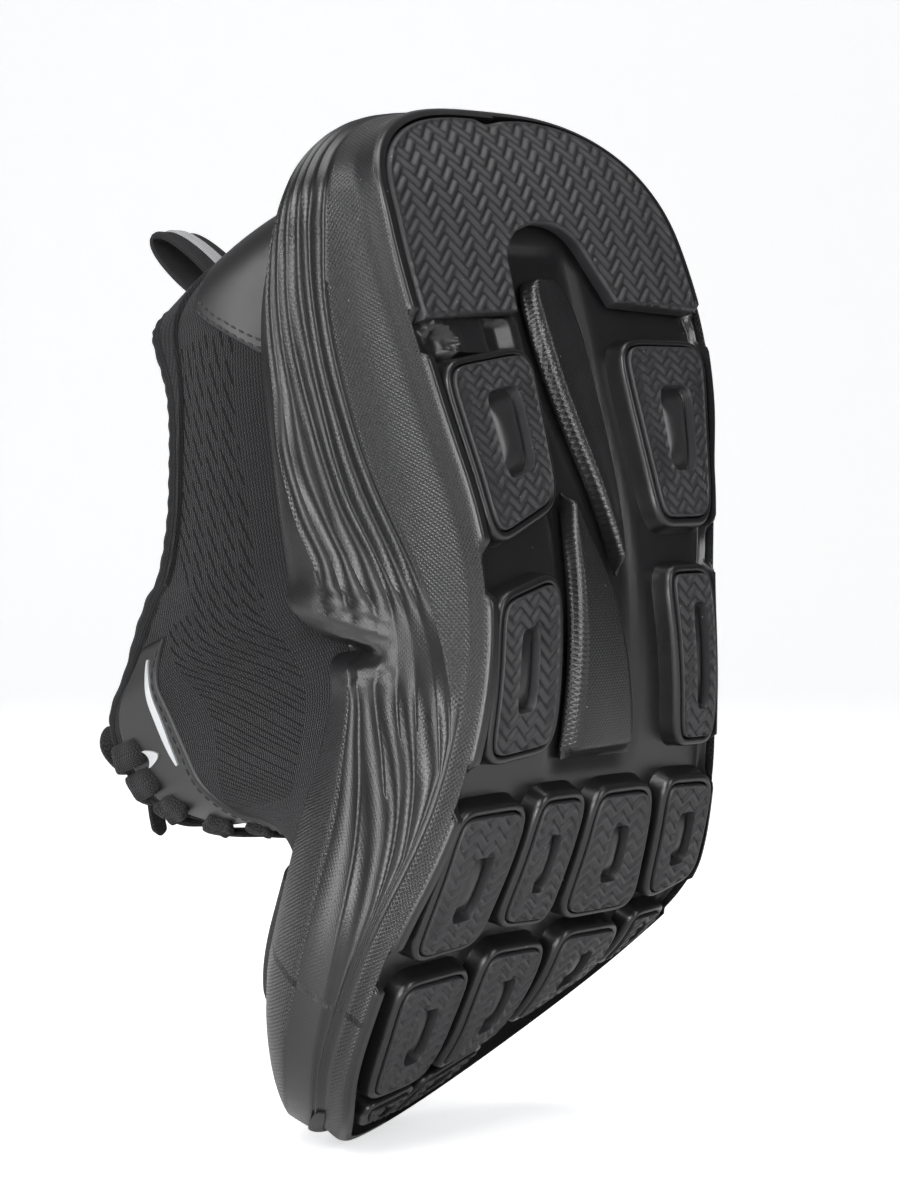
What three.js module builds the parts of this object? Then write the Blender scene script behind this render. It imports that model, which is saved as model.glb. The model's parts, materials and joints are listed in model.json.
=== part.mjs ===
// A running shoe for the right foot, bent at the middle and standing on its toe.
//
// The shoe is drawn flat: s runs from heel to toe, y to the medial side, z up from the tread.
// bend() then rolls the sole up over a stretch of its length, and stand() sets the bent shoe
// on its toe. Lengths are in millimetres.
import * as THREE from "three";

// ---- sizes ---------------------------------------------------------------------------------
const LENGTH = 295; // of the flat pattern that the curves below are drawn on
const TOE_TIP = 0.934 * LENGTH; // where the sole ends on that pattern
const HEEL_OVERHANG = 3; // how far the foam swells out past the tread at the heel
const HEEL_SET = 8; // how far the upper stands in from the foam at the back of the heel
const WIDTH_SCALE = 1; // all widths of the sole and the upper
const HEIGHT_SCALE = 1; // all heights of the foam and the upper
const BEND_DEG = 40; // how far the forefoot is bent up
const BEND_START = 0.336 * LENGTH; // where the bend begins
const BEND_LENGTH = 0.3 * LENGTH; // how much of the sole it takes
const BEND_LEVEL = 24; // height of the layer that keeps its length
const LEAN_DEG = 16; // how far the rear of the shoe leans off the vertical
const PAD_DEPTH = 6; // from tread to foam
const PAD_GAP = 0.8; // between a tread pad and the foam
const GAP = 0.35; // between other touching pieces
const RIM = 4; // thickness of the foam wall at its top
const KNIT = 2.5; // thickness of the upper
const HEEL_ROUND = 32; // length of the rounded heel end
const TOE_ROUND = 70; // length of the rounded toe end
const TOE_TURN = THREE.MathUtils.degToRad(28); // how obliquely the toe rolls up
const TAB_WIDTH = 15; // pull tab

// ---- small helpers --------------------------------------------------------------------------
const lerp = (a, b, t) => a + (b - a) * t;
const mix = (a, b, t) => a.map((v, i) => lerp(v, b[i], t));
const range = (n) => Array.from({ length: n }, (_, i) => i);
const steps = (a, b, n) => range(n).map((i) => lerp(a, b, i / (n - 1)));
const far = (a, b) => Math.hypot(...a.map((v, i) => v - b[i]));

// A smooth curve through [position, value] pairs; positions are for a shoe 295 long.
function curve(...pairs) {
  const pts = pairs.map(([s, v]) => [(s * LENGTH) / 295, v]);
  const slope = (i) => {
    const a = pts[Math.max(i - 1, 0)];
    const b = pts[Math.min(i + 1, pts.length - 1)];
    return (b[1] - a[1]) / (b[0] - a[0]);
  };
  return (s) => {
    const x = Math.min(Math.max(s, pts[0][0]), pts[pts.length - 1][0]);
    let i = 0;
    while (i < pts.length - 2 && x > pts[i + 1][0]) i += 1;
    const h = pts[i + 1][0] - pts[i][0];
    const t = (x - pts[i][0]) / h;
    const a = 2 * t ** 3 - 3 * t ** 2 + 1;
    const b = t ** 3 - 2 * t ** 2 + t;
    const c = t ** 3 - t ** 2;
    return a * pts[i][1] + b * h * slope(i) + (1 - a) * pts[i + 1][1] + c * h * slope(i + 1);
  };
}

// ---- the shape of the sole, flat ------------------------------------------------------------
const middle = curve([0, -3], [100, 0], [200, 0], [260, 8], [295, 12]);
const treadMedial = curve([0, 50], [20, 57], [45, 58], [80, 54], [125, 47.5], [165, 52], [205, 61],
  [235, 60], [262, 58], [295, 56]);
const treadLateral = curve([0, -50], [20, -55], [40, -61], [60, -63], [80, -60], [102, -52],
  [125, -46], [150, -48], [170, -53], [195, -60], [225, -57], [255, -46], [295, -32]);
const biteMedial = curve([0, 38], [40, 42], [75, 43.5], [120, 44], [150, 47], [188, 54],
  [215, 55], [240, 53], [262, 51], [295, 48]);
const biteLateral = curve([0, -40], [40, -45], [80, -46], [120, -42], [150, -45], [188, -52],
  [215, -52], [240, -47], [262, -40], [295, -27]);
const rimHeight = curve([0, 34], [13, 46], [37, 61], [75, 67], [118, 69], [146, 54], [170, 50],
  [215, 47], [235, 44], [259, 36], [275, 26], [295, 20]);
const bedHeight = curve([0, 24], [20, 35], [40, 42], [120, 42], [170, 38], [215, 34], [250, 28],
  [275, 20], [295, 14]);

// Height of the tread above the ground: bevelled at the heel, rolled up obliquely at the toe.
function tread(s, y) {
  const along = s * Math.cos(TOE_TURN) - y * Math.sin(TOE_TURN);
  const d = Math.max(along - 0.654 * LENGTH, 0);
  const rolled = Math.min(d, 21);
  const heel = Math.max(1 - s / 36, 0);
  const toe = Math.max((s - 0.644 * LENGTH) / 105, 0);
  return 10 * heel ** 2 + 6 * toe ** 2 + 0.0125 * rolled ** 2 + 0.525 * (d - rolled);
}
const foam = (s, y) => tread(s, y) + PAD_DEPTH;
const bed = (s, y) => tread(s, y) + bedHeight(s) * HEIGHT_SCALE;
const rim = (s, y) => tread(s, y) + rimHeight(s) * HEIGHT_SCALE;

// A rib runs from the centre line to the edge, in plan: its centre, tread and bite-line points.
function sideRib(s, side, from, to) {
  const c = [Math.min(Math.max(s, from), to), 0];
  c[1] = middle(c[0]);
  const edge = (medial, lateral) => [s, (side > 0 ? medial(s) : lateral(s)) * WIDTH_SCALE];
  return { c, side, t: edge(treadMedial, treadLateral), b: edge(biteMedial, biteLateral) };
}

// Ribs round an end of the shoe; angle 0 is its very tip and 90 the side.
function endRib(angle, side, heel, setBack) {
  const ends = heel ? [HEEL_ROUND, 0, setBack] : [LENGTH - TOE_ROUND, TOE_TIP, TOE_TIP - setBack];
  const [p, q] = heel ? [2.6, 3] : [2.5, 2.3];
  const x = Math.cos(angle) ** (2 / p);
  const f = Math.max(Math.sin(angle), 0) ** (2 / q);
  const c = [ends[0], middle(ends[0])];
  const edge = (tip, medial, lateral) => {
    const s = lerp(ends[0], tip, x);
    const m = middle(s);
    return [s, m + ((side > 0 ? medial(s) : lateral(s)) * WIDTH_SCALE - m) * f];
  };
  const t = edge(ends[1], treadMedial, treadLateral);
  const b = edge(ends[2], biteMedial, biteLateral);
  return { c, side, angle, t, b };
}

const QUARTER = Math.PI / 2;
function endRibs(heel, setBack, n) {
  const one = steps(QUARTER, 0, n);
  const first = one.slice(1, -1).map((a) => endRib(a, heel ? 1 : -1, heel, setBack));
  const tip = endRib(0, 1, heel, setBack);
  const last = one.slice(1, -1).reverse().map((a) => endRib(a, heel ? -1 : 1, heel, setBack));
  return [...first, tip, ...last];
}
const inward = (p, c, d) => mix(p, c, Math.min(d / far(p, c), 0.98));

// ---- bend and stand -------------------------------------------------------------------------
const BEND = THREE.MathUtils.degToRad(BEND_DEG);
const RADIUS = BEND_LENGTH / BEND;

function bend([s, y, z]) {
  const turn = BEND * Math.min(Math.max((s - BEND_START) / BEND_LENGTH, 0), 1);
  const r = RADIUS - (z - BEND_LEVEL);
  const past = Math.max(s - BEND_START - BEND_LENGTH, 0);
  const before = Math.min(s - BEND_START, 0);
  return [
    BEND_START + r * Math.sin(turn) + past * Math.cos(BEND) + before,
    y,
    BEND_LEVEL + RADIUS - r * Math.cos(turn) + past * Math.sin(BEND),
  ];
}

const LEAN = THREE.MathUtils.degToRad(LEAN_DEG);
function stand([x, y, z]) {
  return [
    z * Math.cos(LEAN) - x * Math.sin(LEAN),
    y,
    -x * Math.cos(LEAN) - z * Math.sin(LEAN),
  ];
}

// ---- solids ---------------------------------------------------------------------------------
// The closed solid between two grids of points. With spine, each row starts on a shared centre
// line, so the solid has no side there.
function between(outer, inner, spine = false) {
  const tris = [];
  const quad = (a, b, c, d) => tris.push([a, b, c], [a, c, d]);
  const n = outer.length - 1;
  const m = outer[0].length - 1;
  for (let i = 0; i < n; i += 1) {
    for (let j = 0; j < m; j += 1) {
      quad(outer[i][j], outer[i + 1][j], outer[i + 1][j + 1], outer[i][j + 1]);
      quad(inner[i][j], inner[i][j + 1], inner[i + 1][j + 1], inner[i + 1][j]);
    }
    quad(outer[i][m], outer[i + 1][m], inner[i + 1][m], inner[i][m]);
    if (!spine) quad(outer[i + 1][0], outer[i][0], inner[i][0], inner[i + 1][0]);
  }
  for (let j = 0; j < m; j += 1) {
    quad(outer[0][j], outer[0][j + 1], inner[0][j + 1], inner[0][j]);
    quad(outer[n][j + 1], outer[n][j], inner[n][j], inner[n][j + 1]);
  }
  return closed(tris);
}

// A tube of the given ring of offsets, carried along a path of frames.
function tube(rings) {
  const tris = [];
  const n = rings[0].length;
  for (let i = 0; i < rings.length - 1; i += 1) {
    for (let j = 0; j < n; j += 1) {
      const k = (j + 1) % n;
      tris.push([rings[i][j], rings[i + 1][j], rings[i + 1][k]]);
      tris.push([rings[i][j], rings[i + 1][k], rings[i][k]]);
    }
  }
  for (const [ring, flip] of [[rings[0], false], [rings[rings.length - 1], true]]) {
    const c = range(3).map((a) => ring.reduce((sum, p) => sum + p[a], 0) / n);
    for (let j = 0; j < n; j += 1) {
      const k = (j + 1) % n;
      tris.push(flip ? [c, ring[k], ring[j]] : [c, ring[j], ring[k]]);
    }
  }
  return closed(tris);
}

function closed(tris) {
  const points = [];
  const seen = new Map();
  const index = (p) => {
    const key = p.map((v) => Math.round(v * 2000)).join();
    if (!seen.has(key)) {
      seen.set(key, points.length);
      points.push(p);
    }
    return seen.get(key);
  };
  let faces = tris.map((t) => t.map(index));
  faces = faces.filter(([a, b, c]) => a !== b && b !== c && c !== a);
  const vec = (i) => new THREE.Vector3(...points[i]);
  const volume = faces.reduce((sum, [a, b, c]) => sum + vec(a).cross(vec(b)).dot(vec(c)), 0);
  if (volume < 0) faces = faces.map(([a, b, c]) => [a, c, b]);
  const geometry = new THREE.BufferGeometry();
  geometry.setAttribute("position", new THREE.Float32BufferAttribute(points.flat(), 3));
  geometry.setIndex(faces.flat());
  geometry.computeVertexNormals();
  return geometry;
}

// ---- materials ------------------------------------------------------------------------------
const material = (color, roughness, metalness = 0) =>
  new THREE.MeshStandardMaterial({ color, roughness, metalness, side: THREE.DoubleSide });
const FOAM = material(0x17171a, 0.42);
const RUBBER = material(0x242427, 0.62);
const CLOTH = material(0x0c0c0e, 0.95);
const OVERLAY = material(0x151518, 0.5);
const LINING = material(0x101013, 0.9);
const LACE = material(0x131316, 0.85);
const BOARD = material(0x6a675f, 0.9);
const STIFFENER = material(0x2c2c30, 0.5);
const SILVER = material(0xb9bcc0, 0.35, 0.4);
const GREY = material(0x8f9296, 0.8);

const group = new THREE.Group();
function add(name, geometry, mat) {
  const mesh = new THREE.Mesh(geometry, mat);
  mesh.name = name;
  group.add(mesh);
}
const place = (grid) => grid.map((row) => row.map((p) => stand(p)));
const flexed = (grid) => grid.map((row) => row.map((p) => stand(bend(p))));

// ---- midsole: a tub of foam in three lengths -----------------------------------------------
const REAR_END = BEND_START;
const FRONT_START = BEND_START + BEND_LENGTH;
const SPINE = [HEEL_ROUND, LENGTH - TOE_ROUND];
const rearSide = steps(REAR_END, HEEL_ROUND, 7);
const frontSide = steps(FRONT_START, SPINE[1], 5);
const ribAt = (s, side) => sideRib(s, side, SPINE[0], SPINE[1]);
const heelRibs = [...rearSide.map((s) => ribAt(s, 1)), ...endRibs(true, -HEEL_OVERHANG, 7),
  ...[...rearSide].reverse().map((s) => ribAt(s, -1))];
const toeRibs = [...frontSide.map((s) => ribAt(s, -1)), ...endRibs(false, 9, 10),
  ...[...frontSide].reverse().map((s) => ribAt(s, 1))];

const WALL = [0, 0.14, 0.34, 0.56, 0.8, 1];
const BULGE = [0, 2.6, 4.2, 4.4, 3.2, 0];

// The foam's outside along one rib: across the underside, then up the wall to the rim.
function foamOutside({ c, t, b }) {
  const across = [0, 0.3, 0.55, 0.78, 0.93].map((f) => {
    const p = mix(c, t, f);
    return [...p, foam(...p)];
  });
  const low = foam(...t) + 2.5;
  const high = rim(...b);
  const wall = WALL.map((h, i) => {
    const p = mix(t, b, h * h);
    return [...inward(p, c, -BULGE[i]), lerp(low, high, h)];
  });
  return [...across, ...wall];
}

// Its inside: across the footbed, then up to the inner edge of the rim.
function foamInside({ c, b }) {
  const edge = inward(b, c, RIM);
  const across = [0, 0.3, 0.55, 0.78, 0.95].map((f) => {
    const p = mix(c, edge, f);
    return [...p, bed(...p)];
  });
  const wall = WALL.map((h) => [...edge, lerp(bed(...edge) + 1, rim(...b), h)]);
  return [...across, ...wall];
}
const tub = (ribs) => between(
  flexed(ribs.map(foamOutside)), flexed(ribs.map(foamInside)), true);

add("midsole_rear", tub(heelRibs), FOAM);
add("midsole_front", tub(toeRibs), FOAM);

const flexStations = steps(REAR_END + GAP, FRONT_START - GAP, 12);
const section = (line, s) => {
  const [medial, lateral] = [1, -1].map((side) => line(ribAt(s, side)));
  return [...medial.reverse(), ...lateral.slice(1)];
};
add("midsole_flex", between(
  flexed(flexStations.map((s) => section(foamOutside, s))),
  flexed(flexStations.map((s) => section(foamInside, s)))), FOAM);

// ---- outsole pads ---------------------------------------------------------------------------
// A pad with four corners, each [s, y], going round; its corners are rounded off.
function pad(corners, low = 0, high = PAD_DEPTH - PAD_GAP, n = 7, m = 7) {
  const [a, b, c, d] = corners.map(([s, y]) => [(s * LENGTH) / 295, y * WIDTH_SCALE]);
  const layer = (shrink, lift) => steps(-1, 1, n).map((u) => steps(-1, 1, m).map((v) => {
    const x = (u * shrink * Math.sqrt(1 - 0.22 * v * v) + 1) / 2;
    const w = (v * shrink * Math.sqrt(1 - 0.22 * u * u) + 1) / 2;
    const p = mix(mix(a, d, x), mix(b, c, x), w);
    return [...p, tread(...p) + lift];
  }));
  return between(flexed(layer(0.94, low)), flexed(layer(1, high)));
}

const PADS = {
  pad_arch_medial: [[74, 49], [68, 15], [105, 17], [114, 43]],
  pad_arch_lateral: [[64, -24], [66, -61], [111, -46], [110, -25]],
  pad_waist_medial: [[127, 43], [121, 20], [143, 20.6], [144, 44]],
  pad_waist_medial_front: [[144.7, 44], [143.7, 20.6], [157, 21], [160, 45]],
  pad_waist_lateral: [[122, -26], [122, -44], [144, -46.3], [144, -30]],
  pad_waist_lateral_front: [[144.7, -30.1], [144.7, -46.4], [160, -48], [160, -33]],
  pad_fore_1a: [[172, 51], [171, 26], [205, 29], [208, 52]],
  pad_fore_1b: [[170, 20], [170, 3], [202, 3], [201, 22]],
  pad_fore_1c: [[170, -3], [170, -25], [201, -33], [202, -4]],
  pad_fore_1d: [[169, -32], [170, -52], [195, -57], [200, -39]],
  pad_fore_2a: [[216, 51], [214, 27], [247, 27], [249, 47]],
  pad_fore_2b: [[210, 21], [210, -1], [240, -1], [246, 20]],
  pad_fore_2c: [[208, -8], [208, -31], [228, -37], [238, -8]],
  pad_fore_2d: [[206, -38], [203, -53], [217, -51], [225, -42]],
  pad_toe_a: [[254, 43], [252, 25], [265, 22], [262, 36]],
  pad_toe_b: [[251, 19], [246, -4], [261, -5], [267, 16]],
};
for (const [name, corners] of Object.entries(PADS)) add(name, pad(corners), RUBBER);
add("arch_bar_rear", pad([[48, 5], [48, -11], [120, -8], [122, -4]], 2, 5.2, 9, 4), FOAM);
add("arch_bar_front", pad([[104, 9], [118, -1], [163, -18], [163, 10]], 2, 5.2, 9, 5), FOAM);

// The horseshoe under the heel.
const shoe = { s: (50 * LENGTH) / 295, y: -3, r: 17 };
function horseshoe(rib) {
  const c = [Math.max(shoe.s, rib.t[0]), shoe.y];
  const outer = inward(rib.t, c, 3);
  const inner = inward(c, rib.t, rib.side > 0 ? shoe.r : shoe.r + 3);
  return [inner, outer];
}
const lobes = [60, 52, 44, 36].map((s) => (s * LENGTH) / 295);
const horseshoeRibs = [...lobes.map((s) => ribAt(s, 1)), ...endRibs(true, -HEEL_OVERHANG, 7),
  ...[...lobes].reverse().map((s) => ribAt(s - 2, -1))];
const horseshoeLayer = (lift, inset) => horseshoeRibs.map((rib) => {
  const [inner, outer] = horseshoe(rib);
  return steps(0, 1, 7).map((f) => {
    const p = mix(inner, inward(outer, inner, inset), f);
    return [...p, tread(...p) + lift];
  });
});
add("heel_pad", between(flexed(horseshoeLayer(0, 1.5)),
  flexed(horseshoeLayer(PAD_DEPTH - PAD_GAP, 0))), RUBBER);

// Rubber wrapped up the front of the toe.
const tipRibs = toeRibs.slice(7, -7);
const bumper = (out) => tipRibs.map((rib) => [0, 1, 2].map((k) => {
  const p = foamOutside(rib)[5 + k];
  return [...inward([p[0], p[1]], rib.c, -out), p[2]];
}));
add("toe_bumper", between(flexed(bumper(2.6)), flexed(bumper(0.6))), RUBBER);

// ---- inside the tub -------------------------------------------------------------------------
function layer(low, high) {
  const grid = (lift) => steps(0.035 * LENGTH, 0.865 * LENGTH, 20).map((s) => {
    const end = Math.min(1, Math.sqrt(Math.max(s - 0.01 * LENGTH, 1) / (0.1 * LENGTH)));
    const toe = Math.min(1, Math.sqrt(Math.max(0.9 * LENGTH - s, 1) / (0.176 * LENGTH)));
    const half = end * toe;
    const m = middle(s);
    const [a, b] = [biteMedial(s), biteLateral(s)].map((y) => y * WIDTH_SCALE);
    return steps(-1, 1, 7).map((v) => {
      const y = v > 0 ? lerp(m, a - RIM - 2.5, v * half) : lerp(m, b + RIM + 2.5, -v * half);
      return [s, y, bed(s, y) + lift];
    });
  });
  return between(flexed(grid(high)), flexed(grid(low)));
}
add("strobel_board", layer(1.1, 2.3), BOARD);
add("insole", layer(2.7, 6), LINING);

// ---- upper ----------------------------------------------------------------------------------
const collarHalf = curve([0, 30], [36, 32], [50, 35], [76, 37], [99, 35]);
const collarTop = curve([0, 108], [20, 108], [33, 110], [50, 106], [76, 111], [90, 119], [99, 127]);

const COLLAR_BACK = 0.068 * LENGTH; // its rearmost point

// The top of the collar over a rib of the rear half.
function collarEdge(rib) {
  if (rib.angle === undefined) {
    const s = rib.t[0];
    return [s, -1 + rib.side * collarHalf(s) * WIDTH_SCALE, collarTop(s) * HEIGHT_SCALE];
  }
  const s = lerp(HEEL_ROUND, COLLAR_BACK, Math.cos(rib.angle));
  const half = collarHalf(s) * WIDTH_SCALE * Math.sin(rib.angle) ** 0.9;
  return [s, -1 + rib.side * half, collarTop(s) * HEIGHT_SCALE];
}

// Edge of the throat in the bent shoe, from the collar down to its end above the toes.
const VAMP_END = 0.719 * LENGTH;
const throatEnd = bend([VAMP_END - 2, 20 * WIDTH_SCALE, 68 * HEIGHT_SCALE]);
const MIDDLE_OF_BEND = [BEND_START + BEND_LENGTH / 2, 29];

// Its points are drawn for a bend of 40 degrees. Each is measured along and up from the middle
// of the bend, in a frame that turns with the sole under it, so it keeps its place over the
// sole when the bend, the length or the height changes.
function throatPoint([x, y, z], i) {
  const share = Math.max(i - 2, 0) / 5;
  const [drawn, turned] = [40, BEND_DEG].map((d) => THREE.MathUtils.degToRad(d * share));
  const dx = x - (MIDDLE_OF_BEND[0] * 295) / LENGTH;
  const dz = z - MIDDLE_OF_BEND[1];
  const along = ((dx * Math.cos(drawn) + dz * Math.sin(drawn)) * LENGTH) / 295;
  const up = (dz * Math.cos(drawn) - dx * Math.sin(drawn)) * HEIGHT_SCALE;
  return new THREE.Vector3(
    MIDDLE_OF_BEND[0] + along * Math.cos(turned) - up * Math.sin(turned),
    y * WIDTH_SCALE,
    MIDDLE_OF_BEND[1] + along * Math.sin(turned) + up * Math.cos(turned),
  );
}
const throat = new THREE.CatmullRomCurve3([
  ...[[99, 35, 127], [110, 32, 143], [121, 30, 158], [131, 27, 164], [142, 24, 163],
    [153, 22, 156], [162, 20, 139], [167, 19, 120]].map(throatPoint),
  new THREE.Vector3(...throatEnd),
], false, "centripetal");

const HEIGHTS = [0, 0.12, 0.28, 0.44, 0.6, 0.74, 0.87, 1];
// One column of the upper, from inside the tub up to an edge point; out moves it sideways.
function wallColumn(foot, top, c, out, swell, flexIt) {
  const low = [...foot, bed(...foot) + 7];
  const lip = [...foot, rim(...foot) + 1];
  const place3 = flexIt ? bend : (p) => p;
  return HEIGHTS.map((h) => {
    const p = h < 0.12 ? place3(low) : mix(place3(lip), top, (h - 0.12) / 0.88);
    const above = Math.max(h - 0.12, 0) / 0.88;
    const away = swell * Math.sin(Math.PI * above) + out;
    const d = far([p[0], p[1]], c) || 1;
    return [p[0] + ((p[0] - c[0]) / d) * away, p[1] + ((p[1] - c[1]) / d) * away, p[2]];
  });
}
const quarterColumn = (out) => (rib) => {
  const back = rib.angle === undefined ? 0 : HEEL_SET * Math.cos(rib.angle) ** 2;
  const foot = inward(rib.b, rib.c, RIM + 0.8 + back);
  return wallColumn(foot, collarEdge(rib), rib.c, out, 3, false);
};
const upperRibs = [...rearSide.map((s) => ribAt(s, 1)), ...endRibs(true, -HEEL_OVERHANG, 7),
  ...[...rearSide].reverse().map((s) => ribAt(s, -1))];
const part = (grid, from, to) => grid.map((row) => row.slice(from, to));
const quarter = (out) => place(upperRibs.map(quarterColumn(out)));
const count = upperRibs.length;

add("quarter", between(quarter(0), quarter(-KNIT)), CLOTH);
const back = (grid, keep) => grid.slice(count / 2 - keep, count / 2 + keep);
add("heel_counter", between(part(back(quarter(-KNIT - GAP), 7), 1, 5),
  part(back(quarter(-KNIT - GAP - 1.5), 7), 1, 5)), STIFFENER);
add("heel_overlay", between(part(back(quarter(GAP + 1.1), 3), 2, 8),
  part(back(quarter(GAP), 3), 2, 8)), OVERLAY);
const lining = (grid) => part(grid, 5, 8);
const linedIn = quarter(-KNIT - GAP - 5).map((row, i) => row.map((p, j) => (
  j === 7 ? mix(p, quarter(-KNIT - GAP)[i][j], 0.45) : p)));
add("collar_lining", between(lining(quarter(-KNIT - GAP)), lining(linedIn)), LINING);

// A rolled edge on top of the collar.
const ring = (r, n) => range(n).map((k) => {
  const a = (k * 2 * Math.PI) / n;
  return [r * Math.cos(a), r * Math.sin(a)];
});
const edges = upperRibs.map((rib) => ({ rib, p: collarEdge(rib) }));
add("collar_binding", tube(edges.map(({ rib, p }) => ring(2.2, 8).map(([w, h]) => {
  const d = far([p[0], p[1]], rib.c);
  const out = [(p[0] - rib.c[0]) / d, (p[1] - rib.c[1]) / d];
  return stand([p[0] + out[0] * (w - 1.2), p[1] + out[1] * (w - 1.2), p[2] + 2.8 + h]);
}))), OVERLAY);

// A frame on the throat: the point midway between its edges, the way along, and the way out.
function throatFrame(w) {
  const p = throat.getPoint(w);
  const t = throat.getTangent(w);
  const out = new THREE.Vector3(-t.z, 0, t.x).normalize();
  return { x: p.x, z: p.z, half: p.y, out };
}

// The vamp's two side panels, which crease where the shoe bends.
function panelColumn(w, side, out) {
  const rib = ribAt(lerp(REAR_END + GAP, VAMP_END - GAP, w), side);
  const top = throat.getPoint(Math.min(w * 0.998 + 0.002, 1)).toArray();
  top[1] = side > 0 ? top[1] : -2 - top[1];
  const foot = inward(rib.b, rib.c, RIM + 0.8);
  const c = [bend([...rib.c, rim(...foot)])[0], rib.c[1]];
  const column = wallColumn(foot, top, c, 0, 3, true);
  const up = throatFrame(w).out;
  return column.map(([x, y, z], i) => {
    const turn = HEIGHTS[i] * Math.min(1.6 * w, 1);
    const away = [up.x * turn, side * (1 - 0.6 * turn), up.z * turn];
    const d = out / Math.hypot(...away);
    return [x + away[0] * d, y + away[1] * d, z + away[2] * d];
  });
}
const panel = (side, out) => place(steps(0, 1, 16).map((w) => panelColumn(w, side, out)));
for (const [name, side] of [["medial", 1], ["lateral", -1]]) {
  const skin = panel(side, 0);
  add(`vamp_${name}`, between(skin, panel(side, -KNIT)), CLOTH);
  const stay = (out) => part(panel(side, out).slice(3, 15), 6, 8);
  add(`eyestay_${name}`, between(stay(GAP + 1.2), stay(GAP)), OVERLAY);
}
const strip = (out) => part(panel(1, out).slice(2, 7), 4, 6).map((row) =>
  [mix(row[0], row[1], 0.55), mix(row[0], row[1], 0.8)]);
add("reflector_medial", between(strip(GAP + 0.6), strip(GAP)), SILVER);

// The toe box: a dome from the tub's rim over the toes.
const boxTop = curve([205, 72], [235, 70], [258, 66], [295, 60]);
const BOX_START = VAMP_END + 2 * GAP;
const boxSide = [BOX_START, SPINE[1]];
const boxRibs = [...boxSide.map((s) => ribAt(s, -1)), ...endRibs(false, 9, 10),
  ...[...boxSide].reverse().map((s) => ribAt(s, 1))];
function dome(rib, thick) {
  const c = [Math.min(Math.max(rib.b[0], BOX_START), 0.85 * LENGTH), 0];
  c[1] = middle(c[0]);
  const foot = inward(rib.b, rib.c, RIM + 1 + thick);
  const lip = rim(...rib.b) + 1;
  const crown = boxTop(c[0]) * HEIGHT_SCALE + tread(...c) * 0.4 - thick;
  const over = steps(0, QUARTER, 7).map((a) => {
    const p = mix(c, foot, Math.sin(a) ** 0.9);
    return [...p, lip + (crown - lip) * Math.cos(a)];
  });
  return [...over, [...foot, bed(...foot) + 8]];
}
add("toe_box", between(flexed(boxRibs.map((r) => dome(r, 0))),
  flexed(boxRibs.map((r) => dome(r, KNIT))), true), CLOTH);

// ---- tongue and laces -----------------------------------------------------------------------
const tongueRow = (w, depth) => {
  const f = throatFrame(w);
  return steps(-1, 1, 7).map((v) => {
    const d = depth - 2.5 * v * v;
    return [f.x + f.out.x * d, -1 + v * (f.half - 5), f.z + f.out.z * d];
  });
};
const tongueLine = steps(0.2, 0.92, 10);
add("tongue", between(place(tongueLine.map((w) => tongueRow(w, -1.5))),
  place(tongueLine.map((w) => tongueRow(w, -6)))), LINING);

const LACES = [0.44, 0.55, 0.66, 0.77, 0.87];
LACES.forEach((w, i) => {
  const rows = [w - 0.022, w, w + 0.022].map((a) => throatFrame(a));
  const row = (f, up) => steps(-1, 1, 9).map((v) => {
    const d = up + 5.2 - 2.4 * v * v;
    return [f.x + f.out.x * d, -1 + v * (f.half + 5), f.z + f.out.z * d];
  });
  add(`lace_${i + 1}`, between(place(rows.map((f) => row(f, 2.6))),
    place(rows.map((f) => row(f, 0)))), LACE);
});
const knot = throatFrame(0.44);
const knotRing = (v) => {
  const r = 5.5 * Math.sqrt(Math.max(1 - v * v, 0.08));
  return range(10).map((k) => {
    const a = (k * Math.PI) / 5;
    const d = 12.2 + 0.7 * r * Math.sin(a);
    const along = r * Math.cos(a);
    return stand([knot.x + knot.out.x * d + knot.out.z * along, -1 + 8 * v,
      knot.z + knot.out.z * d - knot.out.x * along]);
  });
};
add("lace_knot", tube(steps(-1, 1, 7).map(knotRing)), LACE);

// ---- pull tab -------------------------------------------------------------------------------
// A loop of webbing standing on the back of the collar.
const tabBase = [COLLAR_BACK - 3.8, -1, collarTop(20) * HEIGHT_SCALE + 6.2];
const tabLine = steps(0, 1, 15).map((t) => {
  const a = Math.PI * (1.5 - 2 * t) * 0.985;
  const x = 3.4 * Math.cos(a);
  const z = Math.max(Math.sin(a), -0.55);
  return [x, 13 * (z + 0.55)];
});
function webbing(width, inset, thick) {
  const [lean, rise] = [-0.78, 0.63];
  const line = (grow) => tabLine.map(([x, z], i) => {
    const a = tabLine[Math.max(i - 1, 0)];
    const b = tabLine[Math.min(i + 1, tabLine.length - 1)];
    const d = Math.hypot(b[0] - a[0], b[1] - a[1]);
    const px = x - ((b[1] - a[1]) / d) * grow;
    const pz = z + ((b[0] - a[0]) / d) * grow;
    const at = [tabBase[0] + px * rise + pz * lean, tabBase[2] + pz * rise - px * lean];
    return steps(-0.5, 0.5, 3).map((v) => stand([at[0], tabBase[1] + v * width, at[1]]));
  });
  return between(line(inset + thick), line(inset));
}
add("pull_tab", webbing(TAB_WIDTH, 0, 1.6), LACE);
add("pull_tab_stripe", webbing(TAB_WIDTH * 0.3, 1.6 + GAP, 0.5), GREY);

// ---- set down on the ground, centred --------------------------------------------------------
const box = new THREE.Box3().setFromObject(group);
const shift = box.getCenter(new THREE.Vector3()).setZ(box.min.z).negate();
group.children.forEach((mesh) => mesh.geometry.translate(shift.x, shift.y, shift.z));

export default group;
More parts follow.
